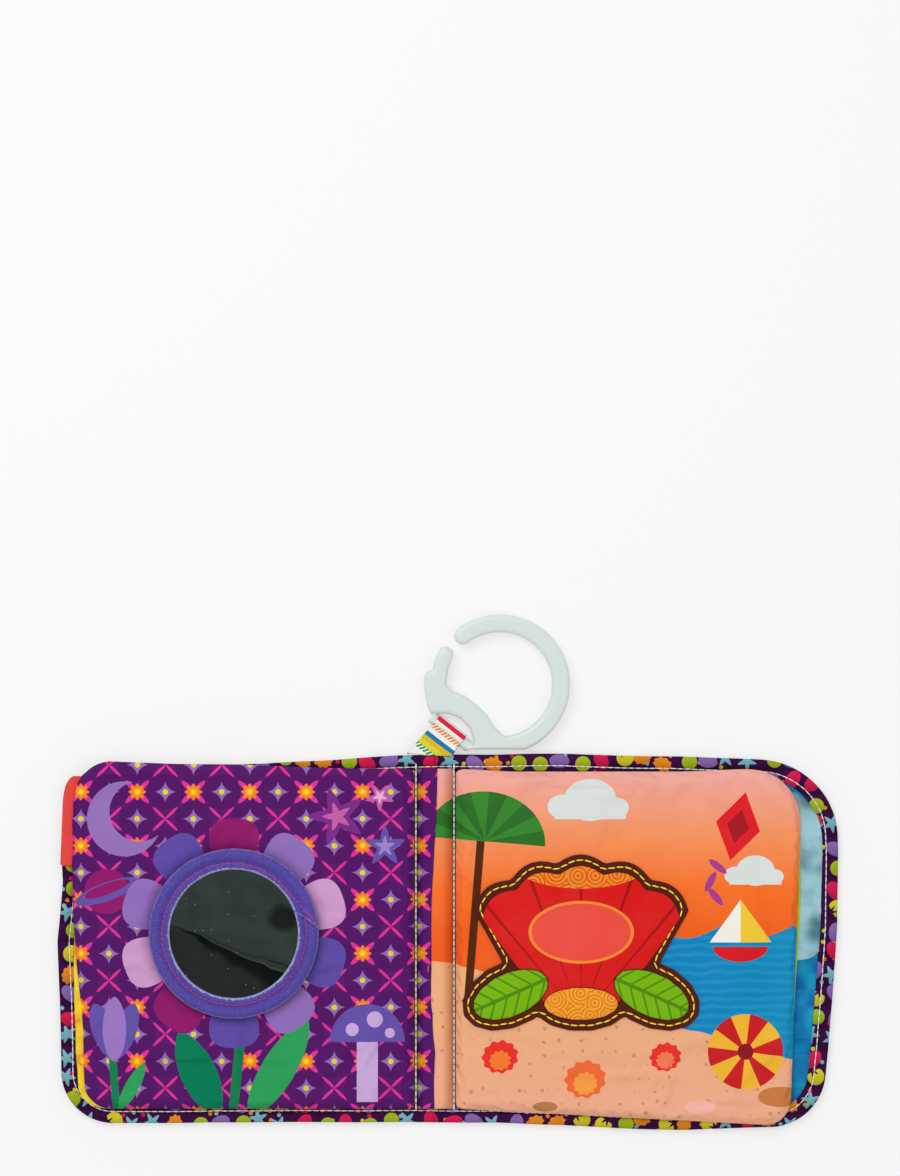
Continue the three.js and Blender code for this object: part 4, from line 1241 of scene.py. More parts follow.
def coverColours(tree, place):
    # dark plum ground, closely scattered stars, scalloped flowers, ovals, buds and rounds 5 to 8 mm across
    small, smallChance = scattered(tree, place, 4.1, 31.0)
    spot = maths(tree, "MULTIPLY", disc(tree, resized(tree, small, 0.2)), maths(tree, "LESS_THAN", smallChance[2], 0.35))
    colour = paint(tree, "3A0C40", spot, steps(tree, smallChance[0], ["D1054D", "77B4C0", "C7C31E", "E28607"]))
    offset, chance = scattered(tree, place, 8.5, 3.0, 0.35)
    kind = chance[0]
    turned = add(tree, "ShaderNodeVectorRotate", {"Vector": offset, "Angle": maths(tree, "MULTIPLY", chance[1], 6.3)},
                 rotation_type="Z_AXIS").outputs[0]
    oval = add(tree, "ShaderNodeVectorMath", {0: turned, 1: (2.1, 3.1, 0)}, operation="MULTIPLY").outputs[0]
    flower = add(tree, "ShaderNodeVectorMath", {0: turned, 1: (2.15, 2.9, 0)}, operation="MULTIPLY").outputs[0]
    above = add(tree, "ShaderNodeVectorMath", {0: turned, 1: (0, 0.36, 0)}, operation="SUBTRACT").outputs[0]
    notch = maths(tree, "SUBTRACT", 1.0, pointedStar(tree, resized(tree, above, 0.36), 7, 0.6))
    bud = maths(tree, "MULTIPLY", disc(tree, resized(tree, turned, 0.4)), notch)
    shapes = (
        (0.0, pointedStar(tree, resized(tree, turned, 0.47), 5, 0.6), "77B4C0"),
        (0.16, rosette(tree, flower, 9, 0.08), "E28607"),
        (0.38, disc(tree, oval), "D1054D"),
        (0.54, disc(tree, oval), "8564AA"),
        (0.7, bud, "D2C71E"),
        (0.86, disc(tree, resized(tree, turned, 0.36)), "A0B414"),
    )
    for start, mask, main in shapes:
        chosen = maths(tree, "MULTIPLY", mask, maths(tree, "GREATER_THAN", kind, start))
        following = [x[0] for x in shapes if x[0] > start]
        if following:
            chosen = maths(tree, "MULTIPLY", chosen, maths(tree, "LESS_THAN", kind, following[0]))
        colour = paint(tree, colour, chosen, main)
    # each motif is printed a little darker along one side
    side = add(tree, "ShaderNodeSeparateXYZ", {0: offset}).outputs[1]
    shade = blended(tree, side, [(-0.4, "D2D2D2"), (0.25, "FFFFFF")])
    return add(tree, "ShaderNodeVectorMath", {0: colour, 1: shade}, operation="MULTIPLY").outputs[0]


latticeLook = {"pitch": (22.5, 21.5), "rosetteAt": (-96.4, 59.8)}


def latticeColours(tree, place):
    # traditional lattice: pink crosses between rosettes, four-pointed stars halfway along each side
    inputs = {"Vector": place, "Location": (*latticeLook["rosetteAt"], 0), "Scale": (*latticeLook["pitch"], 1)}
    mapped = add(tree, "ShaderNodeMapping", inputs, vector_type="TEXTURE").outputs[0]
    moved = add(tree, "ShaderNodeVectorMath", {0: mapped, 1: (0.5, 0.5, 0)}).outputs[0]
    part = add(tree, "ShaderNodeVectorMath", {0: moved}, operation="FRACTION").outputs[0]
    centred = add(tree, "ShaderNodeVectorMath", {0: part, 1: (0.5, 0.5, 0)}, operation="SUBTRACT").outputs[0]
    cell = add(tree, "ShaderNodeVectorMath", {0: centred, 1: (1, 1, 0)}, operation="MULTIPLY").outputs[0]
    folded = add(tree, "ShaderNodeVectorMath", {0: cell}, operation="ABSOLUTE").outputs[0]
    colour = linear("5C1A6B")
    diamonds = ((0.5, 0), (0, 0.5))
    for spot in diamonds:  # darker rounded field round each star
        unit = add(tree, "ShaderNodeMapping", {
            "Vector": folded, "Location": (*spot, 0), "Scale": (0.33, 0.33, 1)}, vector_type="TEXTURE").outputs[0]
        colour = paint(tree, colour, disc(tree, unit), "541765")
    for middle, size in (((0.39, 0.39), (0.026, 0.15)), ((0.095, 0.095), (0.045, 0.155))):
        unit = add(tree, "ShaderNodeMapping", {
            "Vector": folded, "Location": (*middle, 0), "Rotation": (0, 0, -math.pi / 4), "Scale": (*size, 1)},
            vector_type="TEXTURE").outputs[0]
        colour = paint(tree, colour, lens(tree, unit, 0.99), "E22C92")
    for spot in diamonds:
        corner = add(tree, "ShaderNodeVectorMath", {0: folded, 1: (*spot, 0)}, operation="SUBTRACT").outputs[0]
        colour = paint(tree, colour, sparkle(tree, resized(tree, corner, 0.2), 0.62), "9469B4")
        colour = paint(tree, colour, disc(tree, resized(tree, corner, 0.05)), "E0D21A")
    colour = paint(tree, colour, rosette(tree, resized(tree, cell, 0.155), 8, 0.14), "F57D10")
    colour = paint(tree, colour, rosette(tree, resized(tree, cell, 0.09), 8, 0.2), "F7A81C")
    return paint(tree, colour, disc(tree, resized(tree, cell, 0.04)), "F2D41E")


def starAt(tree, place, colour, centre, size, points, over, turn=0.0):
    return paint(tree, colour, pointedStar(tree, local(tree, place, centre, (size, size), turn), points, 0.6), over)


def leftColours(tree, place):
    colour = latticeColours(tree, place)
    greens = ("007C56", "107E4C", "2C9E58")
    middle = (mirrorCentre[0] / mm, mirrorCentre[1] / mm)
    # crescent moon and small planet, upper left
    moon = disc(tree, local(tree, place, (-124, 49), (15, 15)))
    bite = disc(tree, local(tree, place, (-118, 52), (12, 12)))
    colour = paint(tree, colour, maths(tree, "SUBTRACT", moon, maths(tree, "MULTIPLY", moon, bite)), "9470B6")
    colour = paint(tree, colour, disc(tree, local(tree, place, (-131, 20), (9, 9))), "901868")
    ring = disc(tree, local(tree, place, (-131, 20), (13.5, 3.6), 0.35))
    hole = disc(tree, local(tree, place, (-131, 21), (9.5, 2.2), 0.35))
    colour = paint(tree, colour, maths(tree, "SUBTRACT", ring, maths(tree, "MULTIPLY", ring, hole)), "6350A6")
    # three stars, upper right
    for centre, size, body, heart, turn in (
        ((-39, 50), 12, "7A2C86", "C65AA8", 0.3), ((-20, 38), 8.5, "6350A6", "9C80C8", 0.0),
        ((-22, 58), 6, "C65AA8", "E8B0D8", 0.6),
    ):
        colour = starAt(tree, place, colour, centre, size, 5, body, turn)
        colour = starAt(tree, place, colour, centre, size * 0.5, 5, heart, turn)
    # tulip lower left, toadstool lower right
    colour = paint(tree, colour, bar(tree, local(tree, place, (-128, -56), (1.5, 11), 0.08)), greens[1])
    for centre, size, turn, body in (
        ((-132, -36), (5.5, 12), 0.35, "6350A6"), ((-124, -36), (5.5, 12), -0.35, "6350A6"),
        ((-128, -35), (5.5, 13), 0.0, "9A76C0"),
    ):
        colour = paint(tree, colour, lens(tree, local(tree, place, centre, size, turn), 0.85), body)
    colour = paint(tree, colour, lens(tree, local(tree, place, (-121, -58), (4, 11), -0.5), 0.7), greens[2])
    colour = paint(tree, colour, bar(tree, local(tree, place, (-27, -52), (4.2, 12))), "C9A6DA")
    cap = disc(tree, local(tree, place, (-27, -40), (15, 15)))
    above = maths(tree, "GREATER_THAN", add(tree, "ShaderNodeSeparateXYZ", {0: place}).outputs[1], -40.0)
    colour = paint(tree, colour, maths(tree, "MULTIPLY", cap, above), "6350A6")
    for centre, size in (((-33, -35), 2.6), ((-24, -31), 3.2), ((-18, -36.5), 2.0)):
        colour = paint(tree, colour, disc(tree, local(tree, place, centre, (size, size))), "C9A6DA")
    # stem and two leaves below the mirror flower
    colour = paint(tree, colour, bar(tree, local(tree, place, (middle[0] + 1, -54), (1.9, 18), -0.1)), greens[1])
    colour = paint(tree, colour, lens(tree, local(tree, place, (-94.2, -53), (12, 19.2), 0.43), 0.6), greens[0])
    colour = paint(tree, colour, lens(tree, local(tree, place, (-62.6, -51), (11.2, 23.5), -0.545), 0.6), greens[2])
    # ten petals round the mirror
    unit = local(tree, place, middle, (1, 1))
    parts = add(tree, "ShaderNodeSeparateXYZ", {0: unit}).outputs
    turns = maths(tree, "MULTIPLY_ADD", maths(tree, "ARCTAN2", parts[0], parts[1]), 1 / (2 * math.pi), 1.05)
    whole = maths(tree, "FRACT", turns)
    side = maths(tree, "MULTIPLY_ADD", maths(tree, "FRACT", maths(tree, "MULTIPLY", whole, 10.0)), 2.0, -1.0)
    reach = add(tree, "ShaderNodeVectorMath", {0: unit}, operation="LENGTH").outputs["Value"]
    bend = maths(tree, "POWER", maths(tree, "DIVIDE", maths(tree, "ABSOLUTE", side), 0.87), 3.2)
    along = maths(tree, "DIVIDE", maths(tree, "MAXIMUM", maths(tree, "SUBTRACT", reach, 30.0), 0.0), 15.8)
    inside = maths(tree, "LESS_THAN", maths(tree, "ADD", bend, maths(tree, "POWER", along, 3.2)), 1.0)
    hues = ["901868", "8F6DB8", "CF9AC9", "5D4BA4", "8F6DB8", "5D4BA4", "901868", "CF9AC9", "8F6DB8", "5D4BA4"]
    petals = steps(tree, whole, hues)
    # painted shade: the cloth is darker where it creases beside the seam
    crease = blended(tree, add(tree, "ShaderNodeSeparateXYZ", {0: place}).outputs[0],
                     [(-7.8, "FFFFFF"), (-7.3, "949494"), (-4.2, "FFFFFF")])
    colour = add(tree, "ShaderNodeVectorMath", {0: colour, 1: crease}, operation="MULTIPLY").outputs[0]
    # painted shadow: petals darker close to the raised velour ring
    shade = blended(tree, reach, [(33, "D0D0D0"), (38, "FFFFFF")])
    shaded = add(tree, "ShaderNodeVectorMath", {0: petals, 1: shade}, operation="MULTIPLY").outputs[0]
    return paint(tree, colour, inside, shaded)


def cloud(tree, place, colour, centre, size, over="D9DFDB"):
    x, y = centre
    for dx, dy, r in ((-1.0, 0.25, 0.55), (0.0, 0.6, 0.95), (0.95, 0.2, 0.45)):
        unit = local(tree, place, (x + dx * size, y + dy * size * 0.7), (r * size, r * size * 0.8))
        colour = paint(tree, colour, disc(tree, unit), over)
    return paint(tree, colour, bar(tree, local(tree, place, (x, y), (1.3 * size, 0.28 * size))), over)


def rightColours(tree, place):
    parts = add(tree, "ShaderNodeSeparateXYZ", {0: place}).outputs
    x, y = parts[0], parts[1]
    colour = blended(tree, y, [(0, "F25C06"), (22, "F7701C"), (42, "F49058"), (69, "EEAAA0")])
    # clouds, a kite and a parasol in the sky
    colour = cloud(tree, place, colour, (62, 52), 11)
    colour = cloud(tree, place, colour, (128, 25), 8)
    kite = local(tree, place, (121, 46), (9, 14), -0.22)
    colour = paint(tree, colour, maths(tree, "LESS_THAN", maths(
        tree, "ADD", *[maths(tree, "ABSOLUTE", o) for o in add(tree, "ShaderNodeSeparateXYZ", {0: kite}).outputs[:2]]),
        1.0), "E0101E")
    inner = local(tree, place, (121, 46), (4.5, 7), -0.22)
    colour = paint(tree, colour, maths(tree, "LESS_THAN", maths(
        tree, "ADD", *[maths(tree, "ABSOLUTE", o) for o in add(tree, "ShaderNodeSeparateXYZ", {0: inner}).outputs[:2]]),
        1.0), "A5141E")
    for centre, turn in (((113, 30), 0.9), ((110, 24), -0.5), ((112, 18), 0.7)):
        colour = paint(tree, colour, lens(tree, local(tree, place, centre, (1.8, 4.5), turn), 0.8), "A83C8C")
    # sea with a wavy top on the right, crossed by pale and dark bands
    ripple = add(tree, "ShaderNodeTexNoise", {"Vector": place, "Scale": 0.05, "Detail": 1.0}).outputs["Fac"]
    shore = maths(tree, "MULTIPLY_ADD", ripple, 8.0, -4.0)
    humps = maths(tree, "ABSOLUTE", maths(tree, "SINE", maths(tree, "MULTIPLY", x, 0.11)))
    seaTop = maths(tree, "MULTIPLY_ADD", humps, -5.0, 6.5)
    inSea = maths(tree, "MULTIPLY", maths(tree, "LESS_THAN", y, seaTop), maths(tree, "GREATER_THAN", x, 40.0))
    crests = add(tree, "ShaderNodeTexWave", {"Vector": place, "Scale": 0.09, "Distortion": 3.0, "Detail": 1.0},
                 bands_direction="Y").outputs["Fac"]
    sea = paint(tree, blended(tree, x, [(60, "0078C4"), (146, "008CB8")]), maths(tree, "GREATER_THAN", crests, 0.66),
                "1690C4")
    colour = paint(tree, colour, inSea, sea)
    # boat on the sea
    hull = disc(tree, local(tree, place, (122, -2), (11, 6)))
    colour = paint(tree, colour, maths(tree, "MULTIPLY", hull, maths(tree, "LESS_THAN", y, -2.0)), "D8141E")
    sail = local(tree, place, (122, 8), (8, 11))
    sails = add(tree, "ShaderNodeSeparateXYZ", {0: sail}).outputs
    slope = maths(tree, "ADD", maths(tree, "ABSOLUTE", sails[0]), sails[1])
    cutSail = maths(tree, "MULTIPLY", maths(tree, "LESS_THAN", slope, 0.8), maths(tree, "GREATER_THAN", sails[1], -0.75))
    colour = paint(tree, colour, cutSail, "F2C832")
    colour = paint(tree, colour, maths(tree, "MULTIPLY", cutSail, maths(tree, "LESS_THAN", sails[0], 0.0)), "F4F0E6")
    # sand with a sloping edge and sparse brown specks
    dune = maths(tree, "ADD", maths(tree, "MULTIPLY_ADD", x, -0.27, -8.0), shore)
    sandMask = maths(tree, "LESS_THAN", y, dune)
    uneven = add(tree, "ShaderNodeTexNoise", {"Vector": place, "Scale": 1.1, "Detail": 1.0}).outputs["Color"]
    pushed = add(tree, "ShaderNodeVectorMath", {0: uneven, 1: (1.1, 1.1, 0), 2: place}, operation="MULTIPLY_ADD").outputs[0]
    grains = add(tree, "ShaderNodeTexVoronoi", {"Vector": pushed, "Scale": 0.2}, voronoi_dimensions="2D")
    chance = add(tree, "ShaderNodeSeparateColor", {"Color": grains.outputs["Color"]}).outputs
    speckSize = maths(tree, "MULTIPLY_ADD", chance[0], 0.12, 0.04)
    speck = maths(tree, "LESS_THAN", grains.outputs["Distance"], speckSize)
    speck = maths(tree, "MULTIPLY", speck, maths(tree, "LESS_THAN", chance[1], 0.45))
    sand = paint(tree, blended(tree, y, [(-74, "EDA98A"), (-20, "EFAE7B")]), speck, "CB9062")
    colour = paint(tree, colour, sandMask, sand)
    # parasol on the left: green canopy in darker and lighter wedges on a brown pole
    colour = paint(tree, colour, bar(tree, local(tree, place, (16, 12), (1.6, 36), -0.08)), "54290F")
    canopy = disc(tree, local(tree, place, (20, 40), (24, 20), -0.08))
    base = local(tree, place, (20, 40), (24, 20), -0.08)
    over = add(tree, "ShaderNodeSeparateXYZ", {0: base}).outputs
    canopy = maths(tree, "MULTIPLY", canopy, maths(tree, "GREATER_THAN", over[1], 0.0))
    colour = paint(tree, colour, canopy, "37862D")
    wedge = maths(tree, "FRACT", maths(tree, "MULTIPLY", maths(tree, "ARCTAN2", over[1], over[0]), 5 / math.pi))
    colour = paint(tree, colour, maths(tree, "MULTIPLY", canopy, maths(tree, "LESS_THAN", wedge, 0.5)), "2D6E28")
    # ball, shells and pebbles on the sand
    ball = local(tree, place, (124, -44), (15, 15), 0.4)
    round_ = disc(tree, ball)
    spin = add(tree, "ShaderNodeSeparateXYZ", {0: ball}).outputs
    wedges = maths(tree, "FRACT", maths(tree, "MULTIPLY", maths(tree, "ARCTAN2", spin[1], spin[0]), 3 / math.pi))
    colour = paint(tree, colour, round_, "C8141E")
    colour = paint(tree, colour, maths(tree, "MULTIPLY", round_, maths(tree, "LESS_THAN", wedges, 0.5)), "F0B428")
    colour = paint(tree, colour, disc(tree, local(tree, place, (124, -44), (3.2, 3.2))), "8C1420")
    for centre, size, shade, middleShade in (
        ((26, -46), 7.5, "E8281E", "F57828"), ((60, -55), 8.5, "F0642D", "F59A3C"), ((92, -46), 6.5, "E8281E", "F07850"),
    ):
        colour = paint(tree, colour, rosette(tree, local(tree, place, centre, (size, size * 0.9), 0.3), 11, 0.06), shade)
        inside = local(tree, place, (centre[0], centre[1] - size * 0.2), (size * 0.6, size * 0.55), 0.3)
        colour = paint(tree, colour, rosette(tree, inside, 11, 0.08), middleShade)
    for centre, size, shade in (((106, -66), (6, 2.6), "F2B4A6"), ((138, -62), (9, 4), "C8783C"), ((44, -66), (5, 2), "B87846")):
        colour = paint(tree, colour, disc(tree, local(tree, place, centre, size)), shade)
    # painted shade: the cloth is darker where it creases beside the seam
    crease = blended(tree, x, [(2.6, "FFFFFF"), (6.9, "CDB4A0"), (7.8, "FFFFFF")])
    return add(tree, "ShaderNodeVectorMath", {0: colour, 1: crease}, operation="MULTIPLY").outputs[0]


def sunnyColours(tree, place):
    # bright yellow with loose darker orange patches, painted shade standing for soft wrinkles
    drift = add(tree, "ShaderNodeTexNoise", {"Vector": place, "Scale": 0.12, "Detail": 2.0}).outputs["Fac"]
    return blended(tree, drift, [(0.4, "F6D824"), (0.56, "EFC01E"), (0.62, "E08A22"), (0.72, "F2CC1E")])


def squareColours(tree, place):
    # soft washes of close blues, 5 to 8 mm across, with fainter squares crossing them
    wash = add(tree, "ShaderNodeTexNoise", {"Vector": place, "Scale": 0.13, "Detail": 0.5}).outputs["Fac"]
    colour = blended(tree, wash, [(0.3, "005F9C"), (0.45, "0672AA"), (0.55, "0A8AB4"), (0.7, "1299B8")])
    size = 6.5
    snapped = add(tree, "ShaderNodeVectorMath", {0: place, 1: (size, size, size)}, operation="SNAP").outputs[0]
    noise = add(tree, "ShaderNodeTexWhiteNoise", {"Vector": snapped}, noise_dimensions="2D").outputs["Value"]
    return paint(tree, colour, 0.3, steps(tree, noise, ["0068AA", "0A86C2", "0074B6", "1596C4", "005C9E"]))


ribbonLook = ["F2F2EE", "3C9648", "D8D22A", "D8B41E", "1478AA", "F2F2EE", "F08C1E", "F2F2EE", "E1143C", "F2F2EE"]


def ribbonColours(tree, place):
    # woven bars across the ribbon, each 2 mm wide, read along its own length from the bar it loops over
    where = add(tree, "ShaderNodeUVMap", uv_map="stripes").outputs["UV"]
    parts = add(tree, "ShaderNodeSeparateXYZ", {0: where}).outputs
    away = maths(tree, "ABSOLUTE", parts[1])
    colour = steps(tree, maths(tree, "FRACT", maths(tree, "SUBTRACT", 0.999, away)), ribbonLook)
    slant = maths(tree, "MULTIPLY_ADD", away, 8.0, maths(tree, "MULTIPLY", parts[0], 9.0))
    gap = maths(tree, "LESS_THAN", maths(tree, "FRACT", slant), 0.38)
    for first, last, under in ((0.3, 0.4, "F2F2EE"), (0.8, 0.9, "F2F2EE"), (0.0, 0.05, "5A2D78")):
        band = maths(tree, "MULTIPLY", maths(tree, "GREATER_THAN", away, first), maths(tree, "LESS_THAN", away, last))
        colour = paint(tree, colour, maths(tree, "MULTIPLY", band, gap), under)
    return colour


def pile(name, colour, roughness, sheen, depth, grain, nap=0.25, rim=None, shadeAbove=None):
    # short brushed pile: fibres catch light at the turning edges, and lie in darker and lighter drifts
    material, tree, shader, place = newMaterial(name)
    drift = add(tree, "ShaderNodeTexNoise", {"Vector": place, "Scale": 0.16, "Detail": 5.0, "Roughness": 0.7})
    light = add(tree, "ShaderNodeHueSaturation", {"Color": linear(colour), "Value": 1 + nap}).outputs[0]
    dark = add(tree, "ShaderNodeHueSaturation", {"Color": linear(colour), "Value": 1 - nap}).outputs[0]
    mixed = paint(tree, dark, drift.outputs["Fac"], light)
    if shadeAbove:  # painted shade: darker above a height on the page
        upright = add(tree, "ShaderNodeSeparateXYZ", {0: place}).outputs[1]
        height = maths(tree, "MULTIPLY_ADD", drift.outputs["Fac"], 16.0, upright)
        upperShade = blended(tree, height, [(shadeAbove, "FFFFFF"), (shadeAbove + 14, "8E9C90")])
        mixed = add(tree, "ShaderNodeVectorMath", {0: mixed, 1: upperShade}, operation="MULTIPLY").outputs[0]
        # painted shade: scattered soft patches darkened as if in hollows
        hollowShade = add(tree, "ShaderNodeTexNoise", {"Vector": place, "Scale": 0.055, "Detail": 2.5}).outputs["Fac"]
        hollowShade = blended(tree, hollowShade, [(0.5, "FFFFFF"), (0.68, "86A0A6")])
        mixed = add(tree, "ShaderNodeVectorMath", {0: mixed, 1: hollowShade}, operation="MULTIPLY").outputs[0]
    if rim:  # painted highlight: pale rims at the cut inner edge, which also shows the pale ends of the fibres, and at the outer edge, where the puffed pile turns
        unit = local(tree, place, rim[0], (1, 1))
        reach = add(tree, "ShaderNodeVectorMath", {0: unit}, operation="LENGTH").outputs["Value"]
        tufts = add(tree, "ShaderNodeTexNoise", {"Vector": place, "Scale": 1.4, "Detail": 3.0}).outputs["Fac"]
        ragged = maths(tree, "ADD", reach, maths(tree, "MULTIPLY_ADD", tufts, 2.2, -1.1))
        mottle = blended(tree, tufts, [(0.3, "C8C8C8"), (0.7, "FFFFFF")])
        mixed = add(tree, "ShaderNodeVectorMath", {0: mixed, 1: mottle}, operation="MULTIPLY").outputs[0]
        mixed = paint(tree, mixed, maths(tree, "GREATER_THAN", ragged, rim[1] + 7.1), "7468B8")
        mixed = paint(tree, mixed, maths(tree, "LESS_THAN", ragged, rim[1]), rim[2])
        ends = add(tree, "ShaderNodeSeparateXYZ", {0: unit}).outputs
        turn = maths(tree, "SUBTRACT", maths(tree, "ARCTAN2", ends[1], ends[0]), mirrorLook["joinAngle"])
        slope = mirrorLook["joinSlope"] * mm
        turn = maths(tree, "ADD", turn, maths(tree, "MULTIPLY_ADD", reach, -slope, 29.8 * slope))
        off = maths(tree, "MULTIPLY", maths(tree, "ABSOLUTE", turn), ragged)
        mixed = paint(tree, mixed, maths(tree, "LESS_THAN", off, 0.3), "A09AD2")
    tree.links.new(mixed, shader.inputs["Base Color"])
    shader.inputs["Roughness"].default_value = roughness
    shader.inputs["Specular IOR Level"].default_value = 0.15
    shader.inputs["Sheen Weight"].default_value = sheen
    shader.inputs["Sheen Roughness"].default_value = 0.4
    fibres = add(tree, "ShaderNodeTexNoise", {"Vector": place, "Scale": 1 / grain, "Detail": 6.0}).outputs["Fac"]
    bump = add(tree, "ShaderNodeBump", {"Height": fibres, "Distance": depth * mm, "Strength": 0.7}).outputs[0]
    tree.links.new(bump, shader.inputs["Normal"])
    return material


def shellColours(tree, place):
    # red fan with darker ribs spreading from its foot, and a coral oval edged in orange
    low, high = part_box("applique_shell")
    centre = (low.x + high.x) / 2 / mm
    foot = (centre, low.y / mm - 6)
    base = add(tree, "ShaderNodeSeparateXYZ", {0: local(tree, place, foot, (1, 1))}).outputs
    spread = maths(tree, "ARCTAN2", base[0], base[1])
    rib = maths(tree, "ABSOLUTE", maths(tree, "SINE", maths(tree, "MULTIPLY", spread, 9.0)))
    colour = paint(tree, "D9100F", maths(tree, "LESS_THAN", rib, 0.1), "A80C12")
    bands, _ = scattered(tree, place, 9.0, 2.0)
    reach = add(tree, "ShaderNodeVectorMath", {0: bands}, operation="LENGTH").outputs["Value"]
    loops = maths(tree, "LESS_THAN", maths(tree, "FRACT", maths(tree, "MULTIPLY", reach, 6.0)), 0.4)
    ringed = paint(tree, "EE8A1E", loops, "D9550F")
    outer = disc(tree, local(tree, place, (centre, high.y / mm + 8), (34, 17)))
    colour = paint(tree, colour, outer, ringed)
    colour = paint(tree, colour, disc(tree, local(tree, place, (centre, 4), (21, 12.5))), "F28A28")
    return paint(tree, colour, disc(tree, local(tree, place, (centre, 4), (19.8, 11.4))), "EB4B3C")


def ringedColours(tree, place):
    bands, _ = scattered(tree, place, 7.0, 2.0)
    reach = add(tree, "ShaderNodeVectorMath", {0: bands}, operation="LENGTH").outputs["Value"]
    loops = maths(tree, "LESS_THAN", maths(tree, "FRACT", maths(tree, "MULTIPLY", reach, 5.0)), 0.4)
    return paint(tree, "F2A024", loops, "DC7A12")


def leafColours(tree, place):
    # darker midrib and side veins on each of the two leaves, which mirror one another
    low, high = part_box("applique_right_leaf")
    leftLowEnd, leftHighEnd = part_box("applique_left_leaf")
    middle = (low.x + high.x + leftLowEnd.x + leftHighEnd.x) / 4 / mm
    spot = ((low.x + high.x) / 2 / mm - middle, (low.y + high.y) / 2 / mm)
    parts = add(tree, "ShaderNodeSeparateXYZ", {0: local(tree, place, (middle, 0), (1, 1))}).outputs
    folded = add(tree, "ShaderNodeCombineXYZ", {"X": maths(tree, "ABSOLUTE", parts[0]), "Y": parts[1]}).outputs[0]
    unit = local(tree, folded, spot, (1, 1), -0.42)
    ends = add(tree, "ShaderNodeSeparateXYZ", {0: unit}).outputs
    away = maths(tree, "ABSOLUTE", ends[1])
    veins = maths(tree, "SINE", maths(tree, "MULTIPLY_ADD", away, -0.9, maths(tree, "MULTIPLY", ends[0], 1.15)))
    colour = paint(tree, "76B400", maths(tree, "GREATER_THAN", veins, 0.86), "4E8A0A")
    return paint(tree, colour, maths(tree, "LESS_THAN", away, 0.7), "4E8A0A")


def foilMirror():
    # metallised polyester film, with painted reflection: its base colour is dark and nearly even, as if it reflected
    # dark surroundings, with one long banded streak across it that stands for a crease, a darker patch and specks
    material, tree, shader, place = newMaterial("metallisedFilm")
    middle = (mirrorCentre[0] / mm, mirrorCentre[1] / mm)
    uneven = add(tree, "ShaderNodeTexNoise", {"Vector": place, "Scale": 0.12, "Detail": 3.0}).outputs["Fac"]
    parts = add(tree, "ShaderNodeSeparateXYZ", {0: local(tree, place, middle, (1, 1), -0.42)}).outputs
    width = maths(tree, "MAXIMUM", maths(tree, "MULTIPLY_ADD", parts[0], 0.2, 4.4), 0.2)
    slack = add(tree, "ShaderNodeTexNoise", {"Vector": place, "Scale": 0.06, "Detail": 1.0}).outputs["Fac"]
    line = maths(tree, "ADD", maths(tree, "MULTIPLY_ADD", uneven, 2.4, -10.4), maths(tree, "MULTIPLY", slack, 6.0))
    below = maths(tree, "SUBTRACT", line, parts[1])
    share = maths(tree, "DIVIDE", below, width)
    # painted reflection: dark and lighter bands across the film stand for a crease reflecting dark surroundings
    colour = blended(tree, share, [
        (-0.6, "343E3B"), (-0.36, "2C3533"), (-0.32, "1C2221"), (-0.26, "323C39"), (-0.1, "2D3634"), (-0.04, "46504D"),
        (0.03, "101413"), (0.75, "141918"), (1.3, "262D2C")])
    # painted reflection: a soft darker patch near the right edge
    patch = local(tree, place, (middle[0] + 19.8, middle[1] + 5.6), (7.5, 7))
    reach = add(tree, "ShaderNodeVectorMath", {0: patch}, operation="LENGTH").outputs["Value"]
    reflectedDarkPatch = blended(tree, maths(tree, "MULTIPLY_ADD", uneven, 0.5, reach), [(0.75, "9C9C9C"), (1.25, "FFFFFF")])
    colour = add(tree, "ShaderNodeVectorMath", {0: colour, 1: reflectedDarkPatch}, operation="MULTIPLY").outputs[0]
    tone = blended(tree, uneven, [(0.3, "E2E2E2"), (0.7, "FFFFFF")])
    colour = add(tree, "ShaderNodeVectorMath", {0: colour, 1: tone}, operation="MULTIPLY").outputs[0]
    dust, chance = scattered(tree, place, 3.4, 11.0, 1.0)
    fleck = maths(tree, "MULTIPLY", disc(tree, resized(tree, dust, 0.055)), maths(tree, "LESS_THAN", chance[0], 0.09))
    colour = paint(tree, colour, fleck, "7E8B87")
    tree.links.new(colour, shader.inputs["Base Color"])
    shader.inputs["Metallic"].default_value = 1.0
    shader.inputs["Roughness"].default_value = 0.2
    bump = add(tree, "ShaderNodeBump", {"Height": uneven, "Distance": 0.3 * mm, "Strength": 0.3})
    tree.links.new(bump.outputs[0], shader.inputs["Normal"])
    return material


def mouldedPlastic():
    # injection moulded polypropylene: slightly clouded, satin from handling
    material, tree, shader, place = newMaterial("mouldedPolypropylene")
    shader.inputs["Base Color"].default_value = linear("D9E3DE")
    shader.inputs["Roughness"].default_value = 0.32
    shader.inputs["IOR"].default_value = 1.49
    shader.inputs["Subsurface Weight"].default_value = 0.15
    shader.inputs["Subsurface Radius"].default_value = (0.004, 0.004, 0.004)
    soft = add(tree, "ShaderNodeTexNoise", {"Vector": place, "Scale": 0.25, "Detail": 2.0})
    bump = add(tree, "ShaderNodeBump", {"Height": soft.outputs["Fac"], "Distance": 0.05 * mm, "Strength": 0.4})
    tree.links.new(bump.outputs[0], shader.inputs["Normal"])
    return material


def spunThread(name, colour):
    # twisted polyester sewing thread: fine slanting plies
    material, tree, shader, place = newMaterial(name)
    wave = add(tree, "ShaderNodeTexWave", {"Vector": place, "Scale": 0.9, "Distortion": 1.0},
               bands_direction="DIAGONAL").outputs["Fac"]
    shader.inputs["Base Color"].default_value = linear(colour)
    shader.inputs["Roughness"].default_value = 0.6
    bump = add(tree, "ShaderNodeBump", {"Height": wave, "Distance": 0.05 * mm, "Strength": 0.5}).outputs[0]
    tree.links.new(bump, shader.inputs["Normal"])
    return material


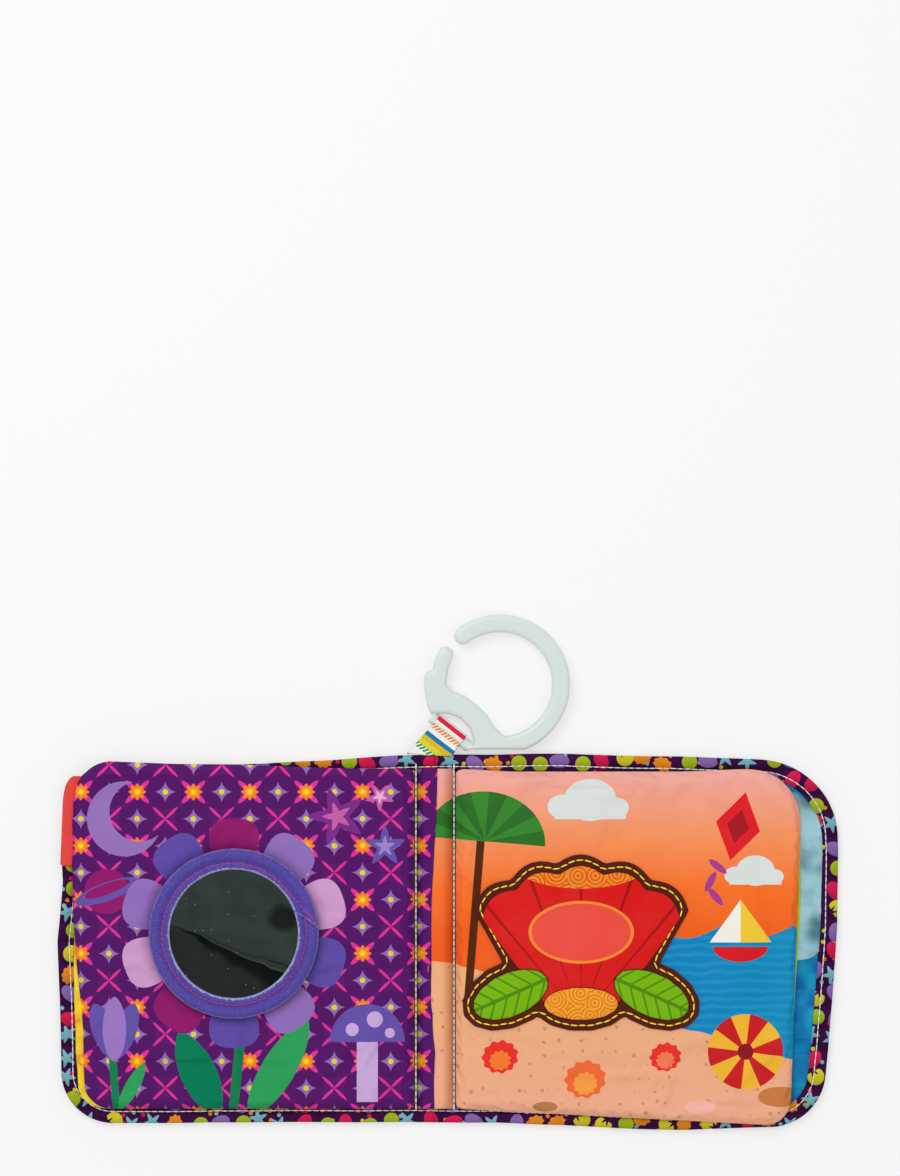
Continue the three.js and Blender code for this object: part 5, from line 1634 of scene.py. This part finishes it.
ringMiddle = (mirrorCentre[0] / mm, mirrorCentre[1] / mm)
finishes.update({
    "cover": printedCloth("printedPolyester", coverColours, bends=True),
    "sunnyLining": plainCloth("yellowCotton", "E8C31E"),
    "sunnyPageBack": printedCloth("yellowPageCotton", sunnyColours),
    "greenPageBack": plainCloth("greenPageCotton", "A8C01E"),
    "blueLining": printedCloth("squarePrintedCotton", squareColours),
    "fleece": pile("brushedFleece", "9BC9D4", 0.95, 0.3, 0.5, 1.6, 0.3, shadeAbove=56.0),
    "purplePage": printedCloth("printedSatinLeft", leftColours),
    "beachPage": printedCloth("printedSatinRight", rightColours),
    "velour": pile("cutVelour", "6052B4", 0.85, 0.25, 0.3, 0.7, 0.2, rim=(ringMiddle, 26.3, "A9A6CF")),
    "felt": pile("pressedFelt", "551C12", 0.95, 0.15, 0.35, 1.1, 0.2),
    "shellCloth": printedCloth("redPrintedCotton", shellColours),
    "ringedCloth": printedCloth("ringedPrintedCotton", ringedColours),
    "leafCloth": printedCloth("greenPrintedCotton", leafColours),
    "coralTab": plainCloth("coralCotton", "E4403A"),
    "mirrorFoil": foilMirror(),
    "linkPlastic": mouldedPlastic(),
    "ribbon": printedCloth("barredSatinRibbon", ribbonColours, ripple=0.1),
    "whiteThread": spunThread("whitePolyesterThread", "F2F0EA"),
    "magentaThread": spunThread("magentaPolyesterThread", "C8328C"),
    "yellowThread": spunThread("yellowPolyesterThread", "FFE838"),
    "batting": pile("polyesterWadding", "ECEAE4", 0.95, 0.2, 0.5, 2.0, 0.06),
    "crinkleFilm": plainCloth("crinkleFilm", "E4E8EA", 3.0, 0.3, 0.4, 0.3, 0.0),
    "backing": plainCloth("greyBackingCotton", "A0A4A6"),
})
print("materials ready")

stitchTree = makeStitchTree()
makeCovers()
print("covers made")
makePage("left", 1.5)
rightTree = makePage("right", 4.5)
print("pages made")
makeGutter("left", finishes["purplePage"])
makeGutter("right", finishes["beachPage"])
makeMirror()
makeTab()
appliqueHeight = makeApplique(surfaceOf(rightTree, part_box("applique_felt")[0].z - 1.5 * mm))
makeLink()
makeRibbon()
print("trims made")
sewAll()
finishPage(appliqueHeight)
print("stitches made")

hiddenFillings = {
    "batting": ("spine_batting", "gutter_padding"),
    "backing": ("mirror_backing",),
    "ribbon": ("ribbon_tail",),
}
for look, nodes in hiddenFillings.items():
    for name in nodes:
        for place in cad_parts[name].material_slots:
            place.material = finishes[look]
